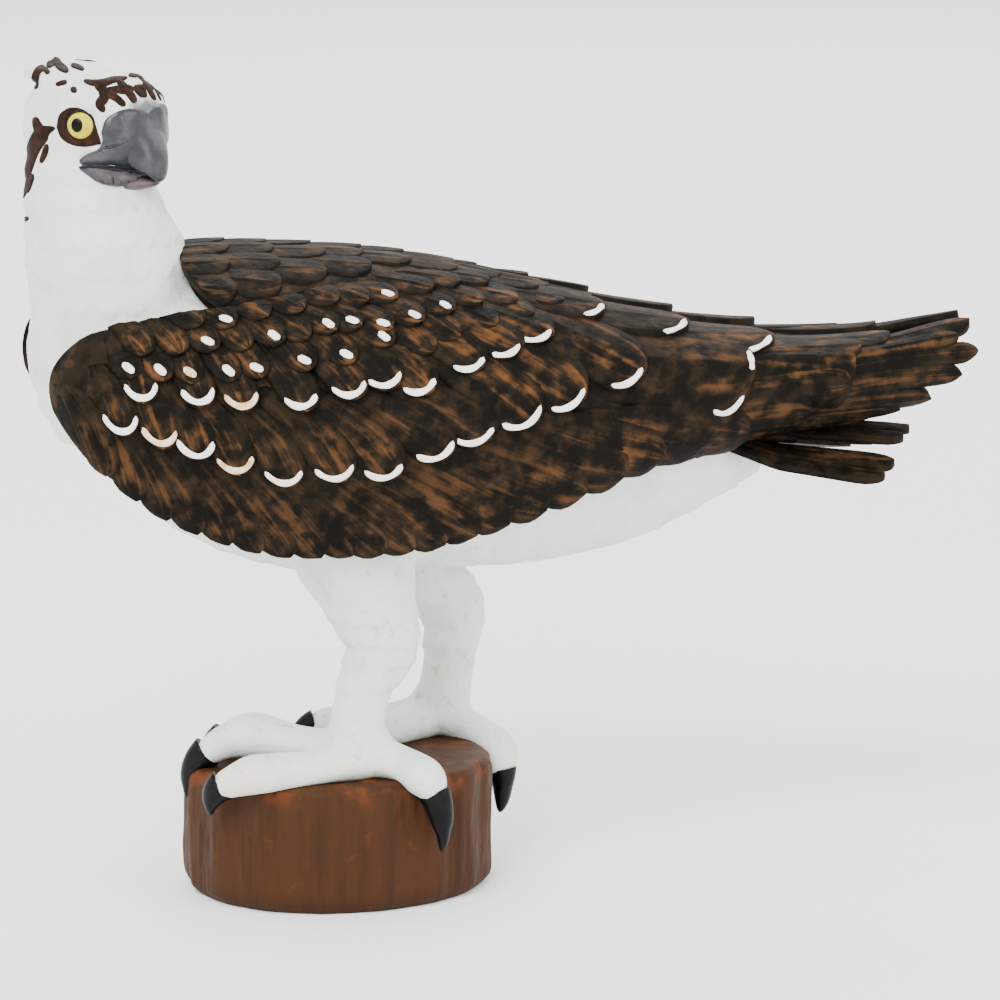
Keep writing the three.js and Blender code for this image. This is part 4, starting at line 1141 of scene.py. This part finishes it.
# Grey sides of the beak and the lower jaw, as pixels of their outlines, and the line of the mouth
CERE = [(101, 132), (105, 120), (114, 113), (125, 109), (140, 109), (152, 116), (159, 128), (161, 146),
        (158, 166), (145, 170), (125, 167), (108, 165), (94, 165), (82, 165), (79, 160), (87, 154), (98, 149),
        (102, 142)]
CERE_MIDDLE, CERE_HEIGHT = np.array([130, 140]), 0.35
JAW = [(79, 169), (83, 164.5), (99, 164), (122, 167), (136, 170.5), (141, 175), (138, 180), (130, 184),
       (117, 187), (99, 183), (88, 176)]
JAW_MIDDLE, JAW_HEIGHT = np.array([113, 175]), 0.6
MOUTH = [(80, 168.5, 0.2), (92, 166.5, 0.5), (108, 166.5, 0.6), (126, 168.5, 0.6), (140, 171.5, 0.4)]
# A dome's levels as shares of its size and height, and the level that closes it under the skin
DOME = [(0.08, 1), (0.3, 1), (0.55, 0.97), (0.75, 0.88), (0.9, 0.6), (0.97, 0.3), (1, -0.1)]
DOME_UNDERSIDE = (1, -0.5)


def beak_shell(stations, sides, samples):
    b = turn(sides)
    rings = []
    for u in np.linspace(0, len(stations) - 1, samples):
        forward, top, bottom, half = resample(stations, u)
        up = bottom + (top - bottom) * (0.5 + 0.5 * boxy(np.sin(b)))
        rings.append(head_ring(forward, half * boxy(np.cos(b)), up))
    return rings


def beside_beak(stations, side):
    return tube([[*head_point(f, side * left, up), r, r] for f, left, up, r in stations], 18, samples=28)


def skin_dome(shape, outline, middle, height, mirror):
    levels = [(size, share * height) for size, share in DOME]
    skin_patch(shape, outline, middle, levels + [DOME_UNDERSIDE], mirror)


def beak_objects():
    upper, lower, cere, jaw, mouth = (Shape() for _ in range(5))
    upper.loft(beak_shell(UPPER_BEAK, 56, 64))
    lower.loft(beak_shell(LOWER_BEAK, 48, 40))
    for side in (-1, 1):
        skin_dome(cere, CERE, CERE_MIDDLE, CERE_HEIGHT, side > 0)
        skin_dome(jaw, JAW, JAW_MIDDLE, JAW_HEIGHT, side > 0)
        paint_line(mouth, MOUTH, side > 0, JAW_HEIGHT)
        mouth.loft(beside_beak(NOSTRIL, side))
    upper.piece("beak_upper_hook", beak_paint, "beak_grey", "beak_upper")
    lower.piece("beak_lower_jaw", jaw_paint, "beak_grey", "beak_lower")
    cere.piece("beak_sides", beak_paint, "beak_grey")
    jaw.piece("jaw_sides", jaw_paint, "beak_grey")
    mouth.piece("mouth_line", mouth_paint, "beak_grey")


CLAW_STEPS, CLAW_SINK = 20, 0.5
CLAW_RADIUS, CLAW_POINT, CLAW_TAPER, CLAW_FLATTEN = 1.72, 0.12, 0.66, 0.86
DOWN = np.array([0, 0, -1])
CLAW_DROP, CLAW_CURL = 0.35, 0.35  # how soon a claw turns down, and how far it turns in


def claw_rings(points, length):
    end = np.asarray(points[3], float)
    direction = unit(end - np.asarray(points[2], float))
    inward = unit(np.array([-end[0], -end[1], 0]))
    p = end - direction * CLAW_SINK
    stations = []
    for i in range(CLAW_STEPS + 1):
        t = i / CLAW_STEPS
        r = CLAW_RADIUS * (1 - t) ** CLAW_TAPER + CLAW_POINT
        stations.append([*p, r * CLAW_FLATTEN, r])
        heading = direction * (1 - t) + DOWN * (CLAW_DROP + t) + inward * CLAW_CURL * t
        p = p + unit(heading) * (length + CLAW_SINK) / CLAW_STEPS
    return tube(stations, 20, samples=CLAW_STEPS + 1)


def claw_objects():
    for side, toes in TOES.items():
        for i, points in enumerate(toes):
            shape = Shape()
            shape.loft(claw_rings(points, CLAW_LENGTHS[side][i]))
            name = f"claw_{side}_{i + 1}"
            shape.piece(name + "_hook", claw_paint, "claw_black", name)


beak_objects()
claw_objects()


STUMP_SIDES = 420
# Levels of the stump: height, share of the radius, and roughness of the bark
STUMP_LEVELS = [
    [0, 0.915, 0], [0.15, 0.935, 0.2], [0.6, 0.958, 0.5], [1.6, 0.982, 0.9], [6, 0.985, 1],
    [10.5, 0.985, 1], [STUMP_HEIGHT - STUMP_RIM, 0.985, 0.8], [STUMP_HEIGHT - 0.45, 0.965, 0.5],
    [STUMP_HEIGHT - 0.1, 0.94, 0.2], [STUMP_HEIGHT, 0.9, 0],
]
STUMP_ROWS = np.concatenate([np.linspace(0, 3, 12), np.linspace(3.2, 6, 34), np.linspace(6.2, 9, 14)])
BARK_RIDGE, BARK_COARSE, BARK_FINE = 0.22, 0.24, 0.1
BARK_RADIUS, BARK_STRETCH = 14, 0.14  # of the noise: its circle, and its scale upwards
TOP_UNEVEN, TOP_SINK = 0.1, 0.06
# Waves of the outline: how many round the stump, share of the radius, and turn
STUMP_WAVES = [(2, 0.014, 0.6), (3, 0.012, 2)]


def stump_object():
    a = turn(STUMP_SIDES)
    swing = sum((share * np.sin(n * a + phase) for n, share, phase in STUMP_WAVES), 1)
    ridge = np.sin(BARK_RIDGES * a + 0.7 * np.sin(2 * a))
    rings = []
    for u in STUMP_ROWS:
        z, size, rough = resample(STUMP_LEVELS, u)
        around = np.stack([np.cos(a) * BARK_RADIUS, np.sin(a) * BARK_RADIUS,
                           np.full(STUMP_SIDES, z * BARK_STRETCH)], -1)
        uneven = wobble(around, 0.9, 2) * BARK_COARSE + wobble(around, 2.6, 5) * BARK_FINE
        radius = BARK_RIDGE * rough * ridge + uneven * rough
        rings.append(np.stack([(STUMP_RADIUS_X * size * swing + radius) * np.cos(a),
                               (STUMP_RADIUS_Y * size * swing + radius) * np.sin(a),
                               np.full(STUMP_SIDES, z)], -1))
    rim = rings[-1]
    for shrink in np.linspace(0.96, 0.06, 22):
        flat = rim * [shrink, shrink, 1]
        flat[:, 2] = STUMP_HEIGHT + TOP_UNEVEN * wobble(flat * [1, 1, 0], 0.35, 4) - TOP_SINK
        rings.append(flat)
    shape = Shape()
    shape.loft(rings)
    shape.piece("stump_wood", bark, "stump_brown", "stump")


stump_object()
hand_over(skin, "white_paint", "torso", "neck", "head", "leg_left", "leg_right", "foot_left", "foot_right")

FLOOR_REACH = 4000
# The lamps, in metres: where they aim, then name, place, power and diameter of each
LAMP_AIM = Vector((0.01, 0, 0.045))
LAMPS = [
    ("key", (-0.35, -0.65, 0.75), 12, 0.5),
    ("fill", (0.75, -0.55, 0.45), 4.5, 0.6),
    ("rim", (0.2, 0.7, 0.7), 4, 0.6),
]
SKY_STRENGTH = 1.95


def floor_object():
    p = Paint("floor_paper", 0.9, 0.2)
    material = p.done(p.mix(p.noise(0.02, 2), *FLOOR_WHITES))
    shape = Shape()
    shape.add([(FLOOR_REACH * x, FLOOR_REACH * y, 0) for x, y in ((-1, -1), (1, -1), (1, 1), (-1, 1))],
              [(0, 1, 2, 3)])
    shape.object("floor", material)


def area_light(name, place, power, size):
    data = bpy.data.lights.new(name, "AREA")
    data.energy = power
    data.shape = "DISK"
    data.size = size
    lamp = link(name, data)
    lamp.location = place
    lamp.rotation_euler = (LAMP_AIM - Vector(place)).to_track_quat("-Z", "Y").to_euler()


floor_object()
for lamp in LAMPS:
    area_light(*lamp)

world = bpy.data.worlds.new("studio")
bpy.context.scene.world = world
world.use_nodes = True
sky = world.node_tree.nodes["Background"]
sky.inputs["Color"].default_value = (1, 1, 1, 1)
sky.inputs["Strength"].default_value = SKY_STRENGTH

lens = bpy.data.cameras.new("camera")
lens.sensor_width = SENSOR
lens.lens = SENSOR * CAMERA_DISTANCE / FRAME_WIDTH
lens.clip_start = 0.01
camera = link("camera", lens)
axes = Matrix(np.stack([RIGHT, UP, BACK], 1).tolist())
camera.matrix_world = Matrix.Translation(Vector(EYE * MM)) @ axes.to_4x4()
bpy.context.scene.camera = camera
